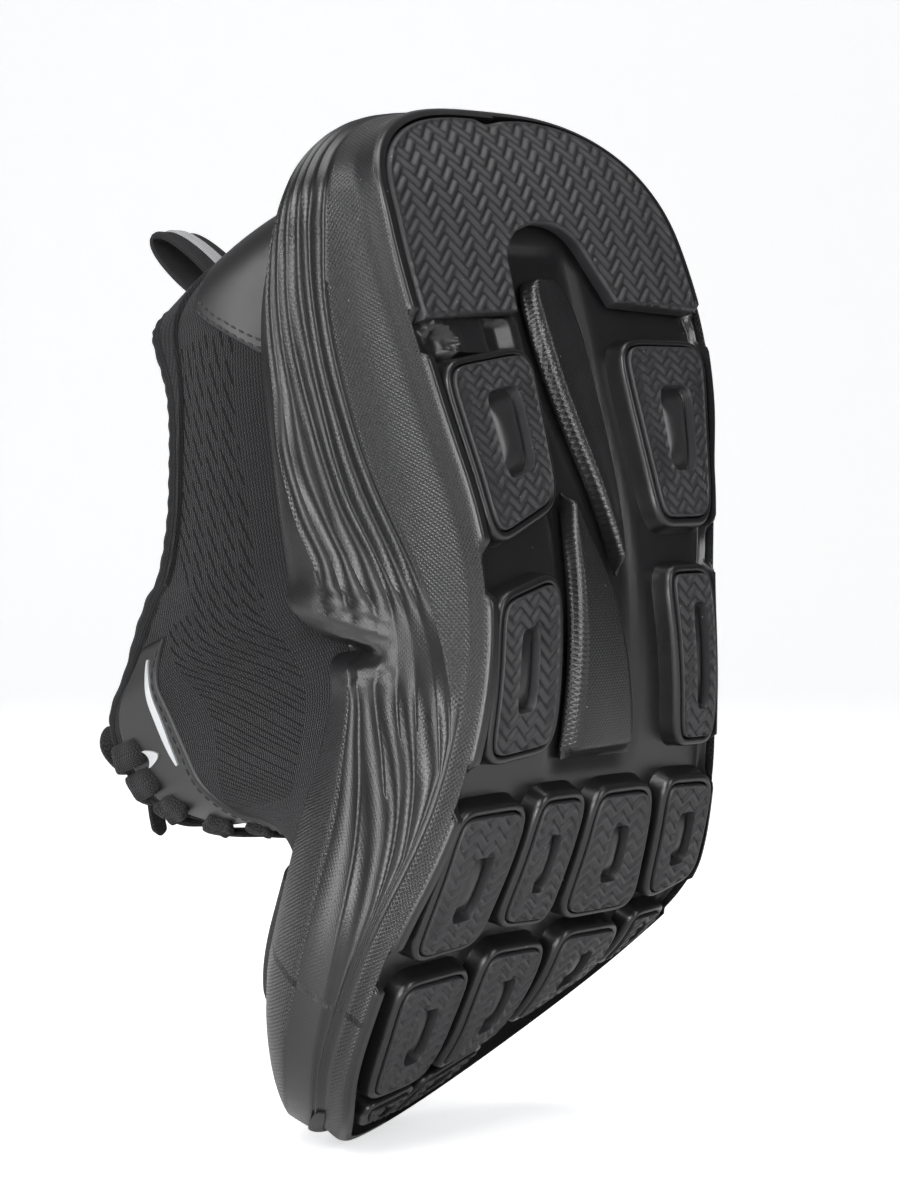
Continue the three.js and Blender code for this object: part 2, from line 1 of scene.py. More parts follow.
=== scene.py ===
# %% [markdown]
# # A running shoe, bent at its middle and standing on its toe
#
# The shoe is a right-foot running shoe with a deep foam sole. Its hard facts (sizes, the
# joints, which piece rides on which body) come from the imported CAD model. This notebook
# dresses that model: each plain solid is replaced by a surface with the detail of the real one.
#
# Everything is in metres. Three coordinate systems are used one after another:
#
# 1. *flat*: the shoe before it is bent. s runs from heel to toe, y to the medial (inner) side,
#    z up from the tread.
# 2. *bent*: the front of the sole is rolled up by 40 degrees over a stretch of 88 mm.
# 3. *row*: the bent shoe stood on its toe, which is the frame of the CAD model.

import json

import bpy
import numpy as np
from mathutils import Matrix

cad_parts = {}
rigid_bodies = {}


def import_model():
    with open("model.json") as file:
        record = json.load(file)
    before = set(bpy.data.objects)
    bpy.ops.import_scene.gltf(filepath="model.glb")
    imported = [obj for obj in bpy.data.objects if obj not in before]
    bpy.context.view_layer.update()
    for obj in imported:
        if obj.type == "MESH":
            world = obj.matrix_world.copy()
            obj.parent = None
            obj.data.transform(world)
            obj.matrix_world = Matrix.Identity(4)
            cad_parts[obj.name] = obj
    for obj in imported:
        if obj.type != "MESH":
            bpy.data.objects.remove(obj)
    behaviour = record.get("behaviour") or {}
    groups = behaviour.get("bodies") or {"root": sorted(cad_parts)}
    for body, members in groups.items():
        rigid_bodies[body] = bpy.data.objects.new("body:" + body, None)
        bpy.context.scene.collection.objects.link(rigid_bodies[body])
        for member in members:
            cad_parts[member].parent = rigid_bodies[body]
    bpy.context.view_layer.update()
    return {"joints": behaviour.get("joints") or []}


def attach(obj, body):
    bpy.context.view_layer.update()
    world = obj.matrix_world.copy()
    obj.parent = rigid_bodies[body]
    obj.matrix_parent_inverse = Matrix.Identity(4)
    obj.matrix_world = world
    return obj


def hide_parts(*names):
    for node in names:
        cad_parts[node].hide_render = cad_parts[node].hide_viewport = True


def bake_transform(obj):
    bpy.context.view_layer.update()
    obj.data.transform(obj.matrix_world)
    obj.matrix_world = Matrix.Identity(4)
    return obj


for thing in list(bpy.data.objects):
    bpy.data.objects.remove(thing)
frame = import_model()

# %% [markdown]
# ## Smooth curves through a few measured points
#
# Most shapes on a shoe are drawn the way a pattern maker draws them: a handful of measured
# points joined by one smooth line. A cubic Hermite curve does that. Its slope at a point is the
# slope of the chord between the two neighbours, so it never kinks and needs no solving.

# %% Curves
MM = 0.001


def through(*pairs):
    """A smooth function through (position, value) pairs in millimetres; it works in metres.

    Between two points, with t from 0 to 1: value = (2t^3 - 3t^2 + 1) v0 + (t^3 - 2t^2 + t) h m0
    + (3t^2 - 2t^3) v1 + (t^3 - t^2) h m1, where h is the gap and m0, m1 are the slopes."""
    x, v = np.array(pairs, float).T * MM
    after = np.minimum(np.arange(len(x)) + 1, len(x) - 1)
    before = np.maximum(np.arange(len(x)) - 1, 0)
    m = (v[after] - v[before]) / (x[after] - x[before])

    def value(s):
        s = np.clip(s, x[0], x[-1])
        i = np.clip(np.searchsorted(x, s, side="right") - 1, 0, len(x) - 2)
        h = x[i + 1] - x[i]
        t = (s - x[i]) / h
        a = 2 * t**3 - 3 * t**2 + 1
        b = t**3 - 2 * t**2 + t
        c = t**3 - t**2
        return a * v[i] + b * h * m[i] + (1 - a) * v[i + 1] + c * h * m[i + 1]

    return value


def path(points, n):
    """n points evenly along a smooth curve through the given points (Catmull-Rom, by distance)."""
    points = np.asarray(points, float)
    gaps = np.linalg.norm(np.diff(points, axis=0), axis=1)
    at = np.concatenate([[0], np.cumsum(gaps)]) / MM
    fine = np.linspace(0, at[-1], 40 * len(points)) * MM
    line = np.stack([through(*zip(at, points[:, k] / MM))(fine) for k in range(points.shape[1])], -1)
    run = np.concatenate([[0], np.cumsum(np.linalg.norm(np.diff(line, axis=0), axis=1))])
    want = np.linspace(0, run[-1], n)
    return np.stack([np.interp(want, run, line[:, k]) for k in range(points.shape[1])], -1)


def step(x, low, high):
    """0 below low, 1 above high, and t^2 (3 - 2t) between."""
    t = np.clip((x - low) / (high - low), 0, 1)
    return t * t * (3 - 2 * t)


def hill(x, centre, width):
    """A bell: e to the power of minus ((x - centre) / width) squared."""
    return np.exp(-(((x - centre) / width) ** 2))


def lerp(a, b, t):
    """a at t = 0 and b at t = 1: a + (b - a) t."""
    return a + (b - a) * t


# %% [markdown]
# ## The lines of the sole
#
# A foam sole is fixed by four lines in plan and two in height: where the tread ends on each
# side, where the upper meets the foam on each side, and the heights of that rim and of the bed
# inside. The numbers follow the CAD model's, so the skins made here fit its solids; round the
# toe, where the photograph shows a slimmer outline, they differ from it by a few millimetres.

# %% Sole lines
LENGTH, TOE_TIP, HEEL_OVERHANG = 0.295, 0.27553, 0.003
BEND, BEND_START, BEND_LENGTH, BEND_LEVEL = np.radians(40), 0.09912, 0.0885, 0.024
LEAN, TOE_TURN = np.radians(16), np.radians(28)
PAD_DEPTH, GAP, RIM, KNIT = 0.006, 0.00035, 0.004, 0.0025
HEEL_ROUND, TOE_START, HEEL_SET, COLLAR_BACK = 0.032, 0.225, 0.008, 0.02006

middle = through((0, -3), (100, 0), (200, 0), (260, 8), (295, 12))
tread_medial = through((0, 50), (20, 57), (45, 58), (80, 54), (125, 47.5), (165, 52), (205, 61),
                       (235, 60.5), (262, 59), (295, 57))
tread_lateral = through((0, -50), (20, -55), (40, -61), (60, -63), (80, -60), (102, -52),
                        (125, -46), (150, -48), (170, -53), (195, -59), (225, -55), (255, -40),
                        (295, -22))
bite_medial = through((0, 38), (40, 42), (75, 43.5), (120, 44), (150, 47), (188, 53), (215, 53),
                      (240, 52), (262, 51), (295, 50))
bite_lateral = through((0, -40), (40, -45), (80, -46), (120, -42), (150, -45), (188, -52),
                       (215, -50), (240, -43), (262, -34), (295, -20))
rim_height = through((0, 34), (13, 46), (37, 61), (75, 67), (118, 69), (146, 54), (170, 50),
                     (215, 45), (235, 42), (259, 36), (275, 26), (295, 20))
bed_height = through((0, 24), (20, 35), (40, 42), (120, 42), (170, 38), (215, 34), (250, 28),
                     (275, 20), (295, 14))


def tread(s, y):
    """Height of the tread: bevelled over the last 36 mm of the heel, rolled up at the toe."""
    along = s * np.cos(TOE_TURN) - y * np.sin(TOE_TURN)
    d = np.clip(along - 0.654 * LENGTH, 0, None)
    rolled = np.minimum(d, 0.021)
    heel = np.clip(1 - s / 0.036, 0, None)
    toe = np.clip((s - 0.644 * LENGTH) / 0.105, 0, None)
    return 0.010 * heel**2 + 0.006 * toe**2 + 12.5 * rolled**2 + 0.525 * (d - rolled)


def on_tread(sy, lift):
    """Points (s, y) with a height above the tread, as flat points (s, y, z)."""
    return np.concatenate([sy, (tread(sy[..., 0], sy[..., 1]) + lift)[..., None]], -1)


def bend(p):
    """Rolls flat points up: inside the bend a point keeps its distance r from the bend's axis
    and turns about it by its share of 40 degrees; beyond it the sole is straight again."""
    s, y, z = np.moveaxis(np.asarray(p, float), -1, 0)
    radius = BEND_LENGTH / BEND
    turn = BEND * np.clip((s - BEND_START) / BEND_LENGTH, 0, 1)
    r = radius - (z - BEND_LEVEL)
    past = np.clip(s - BEND_START - BEND_LENGTH, 0, None)
    before = np.clip(s - BEND_START, None, 0)
    x = BEND_START + r * np.sin(turn) + past * np.cos(BEND) + before
    up = BEND_LEVEL + radius - r * np.cos(turn) + past * np.sin(BEND)
    return np.stack([x, y, up], -1)


def lean(p):
    """Bent points turned by the lean of 16 degrees, with the heel up and the sole facing -X."""
    x, y, z = np.moveaxis(np.asarray(p, float), -1, 0)
    return np.stack([z * np.cos(LEAN) - x * np.sin(LEAN), y,
                     -x * np.cos(LEAN) - z * np.sin(LEAN)], -1)


# The hinge of the CAD model lies where the rear and front halves of the bent layer's tangents
# meet. Its place in the record fixes how far the leaning shoe was moved onto the ground.
RADIUS = BEND_LENGTH / BEND
bend_end = np.array([BEND_START + RADIUS * np.sin(BEND), BEND_LEVEL + RADIUS * (1 - np.cos(BEND))])
flat_end = np.array([BEND_START + BEND_LENGTH, BEND_LEVEL])
turned = np.array([[np.cos(BEND), np.sin(BEND)], [-np.sin(BEND), np.cos(BEND)]])
hinge = np.linalg.solve(np.eye(2) - turned, flat_end - turned @ bend_end)
flex = next(j for j in frame["joints"] if j["name"] == "toe_flex")
MOVED = np.array(flex["pos_m"]) - lean([hinge[0], 0, hinge[1]])


def stand(p):
    """Bent points in the row frame."""
    return lean(p) + MOVED


def flexed(p):
    """Flat points in the row frame: bent, leaned and set down."""
    return stand(bend(p))


print("hinge in the bent frame:", (hinge * 1000).round(2), "moved by", (MOVED * 1000).round(2))

# %% [markdown]
# ## Ribs: a net that follows the outline
#
# A square net of points makes ragged edges where an outline curves, so the net is laid out in
# ribs, like a fan: each rib runs from the shoe's centre line to the edge. Along the sides the
# ribs are parallel; round the heel and the toe they turn about the ends of the centre line,
# following a rounded end x^p + y^q = 1.

# %% Ribs


def side_ribs(s, side):
    """Ribs at stations s on one side: centre, tread edge and bite-line points (s, y)."""
    c = np.stack([np.clip(s, HEEL_ROUND, TOE_START), middle(np.clip(s, HEEL_ROUND, TOE_START))], -1)
    t = np.stack([s, (tread_medial if side > 0 else tread_lateral)(s)], -1)
    b = np.stack([s, (bite_medial if side > 0 else bite_lateral)(s)], -1)
    return c, t, b


def end_ribs(angle, side, heel):
    """Ribs round the heel or the toe; angle 0 is the very tip and a right angle the side."""
    start = HEEL_ROUND if heel else TOE_START
    tips = (0.0, -HEEL_OVERHANG) if heel else (TOE_TIP, TOE_TIP - 0.009)
    p, q = (2.6, 3) if heel else (2.5, 2.3) if side > 0 else (2.25, 2.0)
    x = np.cos(angle) ** (2 / p)
    f = np.clip(np.sin(angle), 0, None) ** (2 / q)

    def edge(tip, line):
        s = start + (tip - start) * x
        m = middle(s)
        return np.stack([s, m + (line(s) - m) * f], -1)

    c = np.stack([np.full_like(angle, start), middle(np.full_like(angle, start))], -1)
    t = edge(tips[0], tread_medial if side > 0 else tread_lateral)
    b = edge(tips[1], bite_medial if side > 0 else bite_lateral)
    return c, t, b


def joined(*groups):
    """Several groups of ribs as one."""
    return [np.concatenate(parts) for parts in zip(*groups)]


def all_ribs(along, around):
    """Ribs right round the sole, starting and ending at the toe, medial side first."""
    s = np.linspace(TOE_START, HEEL_ROUND, along)
    a = np.linspace(np.pi / 2, 0, around)
    a = np.arccos(np.cos(a) ** 1.25)[1:]
    ribs = joined(side_ribs(s, 1), end_ribs(a, 1, True), end_ribs(a[::-1][1:], -1, True),
                  side_ribs(s[::-1], -1), end_ribs(a, -1, False), end_ribs(a[::-1][1:], 1, False))
    return ribs


def toward(p, c, d):
    """Moves points p (s, y) by a distance d towards c."""
    v = c - p
    n = np.maximum(np.linalg.norm(v, axis=-1, keepdims=True), 1e-9)
    return p + v / n * np.minimum(np.asarray(d)[..., None], 0.98 * n)


WALL = np.array([0, 0.14, 0.34, 0.56, 0.8, 1.0])
BULGE = np.array([0, 2.6, 4.2, 4.4, 3.2, 0.0])
bulge = through(*zip(WALL * 1000, BULGE))


# %% [markdown]
# ## From a net to a mesh
#
# One helper turns any net of points into a Blender mesh: it joins neighbouring points with
# quads, welds points that coincide (a net that ends in a pole has many), drops faces that have
# no area left, and turns the faces outwards. Extra values per point travel along as attributes,
# so that a material can use the *flat* coordinates for its pattern and the pattern then bends
# with the shoe.

# %% Mesh helpers


def net(points, wrap_rows=False, wrap_columns=False, caps=False, flip=False):
    """Points (rows, columns, 3) and the quads between them; caps closes the first and last
    row, and flip turns the faces over."""
    n, m = points.shape[:2]
    i = np.arange(n if wrap_rows else n - 1)
    j = np.arange(m if wrap_columns else m - 1)
    i, j = (g.ravel() for g in np.meshgrid(i, j, indexing="ij"))
    k, l = (i + 1) % n, (j + 1) % m
    quads = np.stack([i * m + j, k * m + j, k * m + l, i * m + l], -1)
    co = points.reshape(-1, 3)
    if caps:
        centres = points[[0, -1]].mean(1)
        co = np.concatenate([co, centres])
        a = np.arange(m if wrap_columns else m - 1)
        b = (a + 1) % m
        first = np.stack([a, b, np.full_like(a, n * m), np.full_like(a, n * m)], -1)
        last = np.stack([(n - 1) * m + b, (n - 1) * m + a] + 2 * [np.full_like(a, n * m + 1)], -1)
        quads = np.concatenate([quads, first, last])
    if flip:
        quads = quads[:, ::-1]
    return co, quads


def volume(co, quads):
    """Six times the volume inside the quads: negative if they face inwards."""
    a, b, c, d = (co[quads[:, k]] for k in range(4))
    return (np.einsum("ij,ij->i", a, np.cross(b, c)) + np.einsum("ij,ij->i", a, np.cross(c, d))).sum()


def mesh_object(name, shells, values=None, sharp=40, kinds=None):
    """One object from several nets. values maps an attribute's name to one array per shell, of
    numbers or of triples, one for each point. kinds gives each shell's material number."""
    cos, faces, kind, offset = [], [], [], 0
    for index, (co, quads) in enumerate(shells):
        if volume(co - co.mean(0), quads) < 0:
            quads = quads[:, ::-1]
        cos.append(co)
        faces.append(quads + offset)
        kind.append(np.full(len(quads), 0) if kinds is None else np.broadcast_to(kinds[index], len(quads)))
        offset += len(co)
    co, quads, kind = np.concatenate(cos), np.concatenate(faces), np.concatenate(kind)
    key = np.round(co / 2e-7).astype(np.int64)
    _, first, same = np.unique(key, axis=0, return_index=True, return_inverse=True)
    co, quads = co[first], same.ravel()[quads]
    a, b, c, d = quads.T
    four = (a != b) & (b != c) & (c != d) & (d != a) & (a != c) & (b != d)
    rest, rest_kind = quads[~four], kind[~four]
    # A quad with two equal neighbours is a triangle once one of them is dropped.
    tri = np.where((rest[:, 0] == rest[:, 1])[:, None], rest[:, [1, 2, 3]],
                   np.where((rest[:, 1] == rest[:, 2])[:, None], rest[:, [0, 1, 3]],
                            np.where((rest[:, 2] == rest[:, 3])[:, None], rest[:, [0, 1, 2]],
                                     rest[:, [0, 1, 2]])))
    whole = (tri[:, 0] != tri[:, 1]) & (tri[:, 1] != tri[:, 2]) & (tri[:, 2] != tri[:, 0])
    tri, tri_kind = tri[whole], rest_kind[whole]
    loops = np.concatenate([quads[four].ravel(), tri.ravel()])
    starts = np.concatenate([np.arange(four.sum()) * 4, four.sum() * 4 + np.arange(len(tri)) * 3])
    me = bpy.data.meshes.new(name)
    me.vertices.add(len(co))
    me.vertices.foreach_set("co", co.astype(np.float32).ravel())
    me.loops.add(len(loops))
    me.loops.foreach_set("vertex_index", loops.astype(np.int32))
    me.polygons.add(len(starts))
    me.polygons.foreach_set("loop_start", starts.astype(np.int32))
    me.polygons.foreach_set("material_index", np.concatenate([kind[four], tri_kind]).astype(np.int32))
    me.update(calc_edges=True)
    me.validate()
    me.shade_smooth()
    if sharp:
        me.set_sharp_from_angle(angle=np.radians(sharp))
    for key, arrays in (values or {}).items():
        data = np.concatenate([np.asarray(v, np.float32) for v in arrays])[first]
        vector = data.ndim == 2
        attribute = me.attributes.new(key, "FLOAT_VECTOR" if vector else "FLOAT", "POINT")
        attribute.data.foreach_set("vector" if vector else "value", data.ravel())
    obj = bpy.data.objects.new(name, me)
    bpy.context.scene.collection.objects.link(obj)
    print(f"{name}: {len(co)} points, {len(starts)} faces")
    return obj


def skin(outer, inner):
    """The closed net round a sheet: its outer face, its edge and its inner face, as one loop
    of columns."""
    return np.concatenate([outer, inner[:, ::-1]], axis=1)


def with_ends(grid):
    """A net's triples as a list, with the middles of its first and last rows for its caps."""
    return np.concatenate([grid.reshape(-1, 3), grid[[0, -1]].mean(1)])


def doubled(grid):
    """The same triples for both faces of a sheet."""
    return np.concatenate([grid, grid[:, ::-1]], 1)


def triples(a, b, c=0.0):
    """Three grids of numbers as one grid of triples."""
    return np.stack(np.broadcast_arrays(a, b, c), -1)


def closed_piece(name, sheet, body, material, replaced, sharp, pat=None, slit=None, to_row=None):
    """A finished piece from a closed net of bent points, with its attributes and its duty."""
    co, quads = net((to_row or stand)(sheet), wrap_columns=True, caps=True)
    values = {"flat": [with_ends(sheet) * 1000]}
    if pat is not None:
        values["pat"] = [with_ends(pat)]
    if slit is not None:
        values["slit"] = [with_ends(slit)]
    obj = mesh_object(name, [(co, quads)], values, sharp=sharp)
    return place(obj, body, material, replaced)


def place(obj, body, material, replaced=()):
    """Gives a finished piece its body, its material and its duty; a piece on bend gets no body and stays
    where it lies.
    """
    for one in material if isinstance(material, (list, tuple)) else [material]:
        obj.data.materials.append(one)
    if body == "bend":
        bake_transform(obj)
    else:
        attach(obj, body)
    if replaced:
        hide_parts(*replaced)
    return obj

# %% [markdown]
# ## Floor, light and camera
#
# A black shoe on white shows its shape only by what it reflects. Tall soft boxes make long soft
# highlights on the satin foam: one high on the medial side, one on the sole's side, one for
# the edges and a small one low down for the toe. A dim pale room fills the hollows. The camera
# is a short telephoto, nearly level with the shoe, looking at the sole a little from the
# medial side.

# %% Stage
scene = bpy.context.scene
scene.view_settings.view_transform = "Standard"


def stage_net(name, points, color, rough):
    co, quads = net(np.asarray(points, float))
    me = bpy.data.meshes.new(name)
    me.from_pydata(co.tolist(), [], quads.tolist())
    me.shade_smooth()
    obj = bpy.data.objects.new(name, me)
    scene.collection.objects.link(obj)
    mat = bpy.data.materials.new(name)
    mat.use_nodes = True
    bsdf = mat.node_tree.nodes["Principled BSDF"]
    bsdf.inputs["Base Color"].default_value = (*color, 1)
    bsdf.inputs["Roughness"].default_value = rough
    me.materials.append(mat)
    return obj


# The backdrop is one seamless sheet: a floor that curves up behind the shoe, square to the
# camera's line, so that no horizon shows.
AWAY = np.array([0.642, -0.767])
ACROSS = np.array([0.767, 0.642])
curl = np.linspace(0.1, np.pi / 2, 12)
reach = np.concatenate([np.linspace(-2.2, 1.6, 9), 1.6 + 1.2 * np.sin(curl), [2.8]])
height = np.concatenate([np.zeros(9), 1.2 * (1 - np.cos(curl)), [4.0]])
wide = np.linspace(-4, 4, 9)
stage_net("studio_sweep", [[(*(AWAY * r + ACROSS * q), h) for q in wide] for r, h in zip(reach, height)],
          (0.87, 0.87, 0.875), 0.7)
# The sheet is over-lit in a studio; a little glow, seen by the lens only, stands in for that.
sheet = bpy.data.materials["studio_sweep"].node_tree
glow = sheet.nodes.new("ShaderNodeLightPath")
share = sheet.nodes.new("ShaderNodeMath")
share.operation = "MULTIPLY"
share.inputs[1].default_value = 0.6
sheet.links.new(glow.outputs["Is Camera Ray"], share.inputs[0])
sheet.nodes["Principled BSDF"].inputs["Emission Color"].default_value = (0.97, 0.975, 0.985, 1)
sheet.links.new(share.outputs[0], sheet.nodes["Principled BSDF"].inputs["Emission Strength"])


def soft_box(name, place_at, aim, size, power, color=(1, 1, 1)):
    """A rectangular lamp turned towards a point."""
    data = bpy.data.lights.new(name, "AREA")
    data.shape = "RECTANGLE"
    data.size, data.size_y = size
    data.energy = power
    data.color = color
    obj = bpy.data.objects.new(name, data)
    obj.location = place_at
    back = bpy.data.objects.new(name, data).location.copy()
    back.xyz = [p - a for p, a in zip(place_at, aim)]
    obj.rotation_euler = back.to_track_quat("Z", "Y").to_euler()
    scene.collection.objects.link(obj)


CENTRE = (0.0, 0.0, 0.14)
soft_box("key_box", (-0.55, 1.25, 1.15), CENTRE, (0.28, 1.1), 20)
soft_box("sole_box", (-1.35, 0.1, 0.75), CENTRE, (0.3, 1.1), 9)
soft_box("rim_box", (0.9, 1.0, 0.5), CENTRE, (0.3, 1.1), 11)
soft_box("toe_light", (-0.45, 0.85, 0.12), (-0.04, 0.03, 0.04), (0.35, 0.18), 4)
soft_box("top_box", (0.0, 0.0, 1.6), CENTRE, (1.0, 1.0), 13)

world = bpy.data.worlds.new("studio_room")
scene.world = world
world.use_nodes = True
backdrop = world.node_tree.nodes["Background"]
backdrop.inputs["Color"].default_value = (0.95, 0.955, 0.965, 1)
# The room is bright where the lens sees it and dimmer where it lights the shoe.
seen = world.node_tree.nodes.new("ShaderNodeLightPath")
level = world.node_tree.nodes.new("ShaderNodeMapRange")
level.inputs["To Min"].default_value = 0.11
level.inputs["To Max"].default_value = 1.0
world.node_tree.links.new(seen.outputs["Is Camera Ray"], level.inputs["Value"])
world.node_tree.links.new(level.outputs["Result"], backdrop.inputs["Strength"])

# %% Camera
camera = bpy.data.objects.new("camera", bpy.data.cameras.new("camera"))
camera.data.sensor_width = 36
camera.data.lens = 111.45
camera.data.clip_start = 0.05
look = np.array([[-0.76681, 0.02852, -0.64124], [-0.64187, -0.03648, 0.76595],
                 [-0.00155, 0.99893, 0.04629]])
at = np.eye(4)
at[:3, :3] = look
at[:3, 3] = stand(np.array([247.408, 743.179, -554.648]) * MM)
camera.matrix_world = Matrix(at.tolist())
scene.collection.objects.link(camera)
scene.camera = camera
print("camera at", (at[:3, 3] * 1000).round(0), "mm")

# %% [markdown]
# ## Materials
#
# Every material is a small network of nodes. Their patterns read three attributes that each
# piece carries: *flat*, the unbent place in millimetres, for grain and dust; *pat*, running
# distances along and across the piece with a strength, for weaves and moulded texture; and
# *slit*, for the rows of long holes in the knit.

# %% Shader helper


class Shader:
    """A material under construction. Values that are sockets are linked, others are set."""

    def __init__(self, name, color, roughness, **settings):
        self.material = bpy.data.materials.new(name)
        self.material.use_nodes = True
        self.tree = self.material.node_tree
        self.bsdf = self.tree.nodes["Principled BSDF"]
        self.set(self.bsdf, **{"Base Color": (*color, 1), "Roughness": roughness, **settings})

    def set(self, node, **inputs):
        for key, value in inputs.items():
            socket = node.inputs[int(key[1:])] if key[0] == "_" else node.inputs[key]
            if isinstance(value, bpy.types.NodeSocket):
                self.tree.links.new(value, socket)
            else:
                socket.default_value = value
        return node

    def add(self, kind, settings=None, **inputs):
        node = self.tree.nodes.new("ShaderNode" + kind)
        for key, value in (settings or {}).items():
            setattr(node, key, value)
        return self.set(node, **inputs)

    def math(self, operation, *values):
        node = self.add("Math", {"operation": operation})
        return self.set(node, **{f"_{i}": v for i, v in enumerate(values)}).outputs[0]

    def attribute(self, name):
        node = self.add("Attribute", {"attribute_name": name})
        parts = self.add("SeparateXYZ", None, Vector=node.outputs["Vector"])
        return node.outputs["Vector"], parts.outputs

    def noise(self, vector, scale, detail=3.0, roughness=0.5):
        return self.add("TexNoise", None, Vector=vector, Scale=scale, Detail=detail,
                        Roughness=roughness).outputs["Fac"]

    def between(self, low, high, factor):
        """factor from 0 to 1 turned into a number from low to high."""
        return self.math("MULTIPLY_ADD", factor, high - low, low)

    def tint(self, factor, dark, light):
        mix = self.add("Mix", {"data_type": "RGBA"})
        mix.inputs["Factor"].default_value = 0
        self.tree.links.new(factor, mix.inputs["Factor"])
        for key, value in (("A", dark), ("B", light)):
            socket = next(i for i in mix.inputs if i.name == key and i.type == "RGBA")
            if isinstance(value, bpy.types.NodeSocket):
                self.tree.links.new(value, socket)
            else:
                socket.default_value = (*value, 1)
        return next(o for o in mix.outputs if o.type == "RGBA")

    def bump(self, *layers):
        """Stacks bumps; each layer is (height, depth in millimetres)."""
        normal = None
        for height, depth in layers:
            node = self.add("Bump", None, Height=height, Distance=depth * MM, Strength=1.0)
            if normal is not None:
                self.set(node, Normal=normal)
            normal = node.outputs["Normal"]
        self.set(self.bsdf, Normal=normal)

    def wave(self, value, pitch):
        """0 to 1 and back, once every pitch millimetres."""
        turns = self.math("MULTIPLY", value, 2 * np.pi / pitch)
        return self.math("MULTIPLY_ADD", self.math("SINE", turns), 0.5, 0.5)

    def dust(self, flat, amount):
        """Specks of dust: one dot in some of the cells of a random net."""
        cells = self.add("TexVoronoi", {"feature": "F1"}, Vector=flat, Scale=0.22, Randomness=1.0)
        dot = self.math("LESS_THAN", cells.outputs["Distance"], 0.032)
        chance = self.add("SeparateXYZ", None, Vector=cells.outputs["Color"]).outputs[0]
        return self.math("MULTIPLY", dot, self.math("LESS_THAN", chance, amount))


# %% [markdown]
# ### Foam, rubber and film
#
# Moulded EVA foam has a satin skin, black but never quite even, and its walls carry a fine
# diamond texture cut into the mould. The rubber pads are a shade greyer and rougher, and pick
# up dust. The film on the heel and along the laces is smooth, with a faint grain.

# %% Moulded materials


def moulded(name, dark, light, rough, spread, grain, dust, diamonds=0.0):
    m = Shader(name, dark, rough)
    flat, _ = m.attribute("flat")
    clouds = m.noise(flat, 0.09, 4.0)
    fine = m.noise(flat, 5.0, 2.0)
    color = m.tint(clouds, dark, light)
    specks = m.dust(flat, dust)
    color = m.tint(specks, color, (0.32, 0.32, 0.32))
    m.set(m.bsdf, **{"Base Color": color})
    mixed = m.math("ADD", m.math("MULTIPLY", clouds, 0.6), m.math("MULTIPLY", fine, 0.4))
    m.set(m.bsdf, Roughness=m.between(rough - spread, rough + spread, mixed))
    layers = [(fine, grain), (specks, 0.05)]
    if diamonds:
        _, pat = m.attribute("pat")
        one = m.wave(m.math("ADD", pat[0], pat[1]), 1.25)
        two = m.wave(m.math("SUBTRACT", pat[0], pat[1]), 1.25)
        cut = m.math("MULTIPLY", m.math("MAXIMUM", one, two), pat[2])
        layers.append((cut, diamonds))
    m.bump(*layers)
    return m


foam = moulded("foam", (0.0052, 0.0052, 0.0057), (0.009, 0.009, 0.0099), 0.29, 0.06, 0.03, 0.35, 0.2)
gloss = moulded("foam_gloss", (0.012, 0.012, 0.013), (0.018, 0.018, 0.019), 0.3, 0.05, 0.02, 0.2)
rubber = moulded("rubber", (0.012, 0.012, 0.0132), (0.021, 0.021, 0.023), 0.46, 0.08, 0.07, 0.9)
film = moulded("film", (0.006, 0.006, 0.0066), (0.009, 0.009, 0.0098), 0.4, 0.05, 0.03, 0.1)
plastic = moulded("stiff_sheet", (0.02, 0.02, 0.022), (0.028, 0.028, 0.03), 0.5, 0.06, 0.05, 0.0)
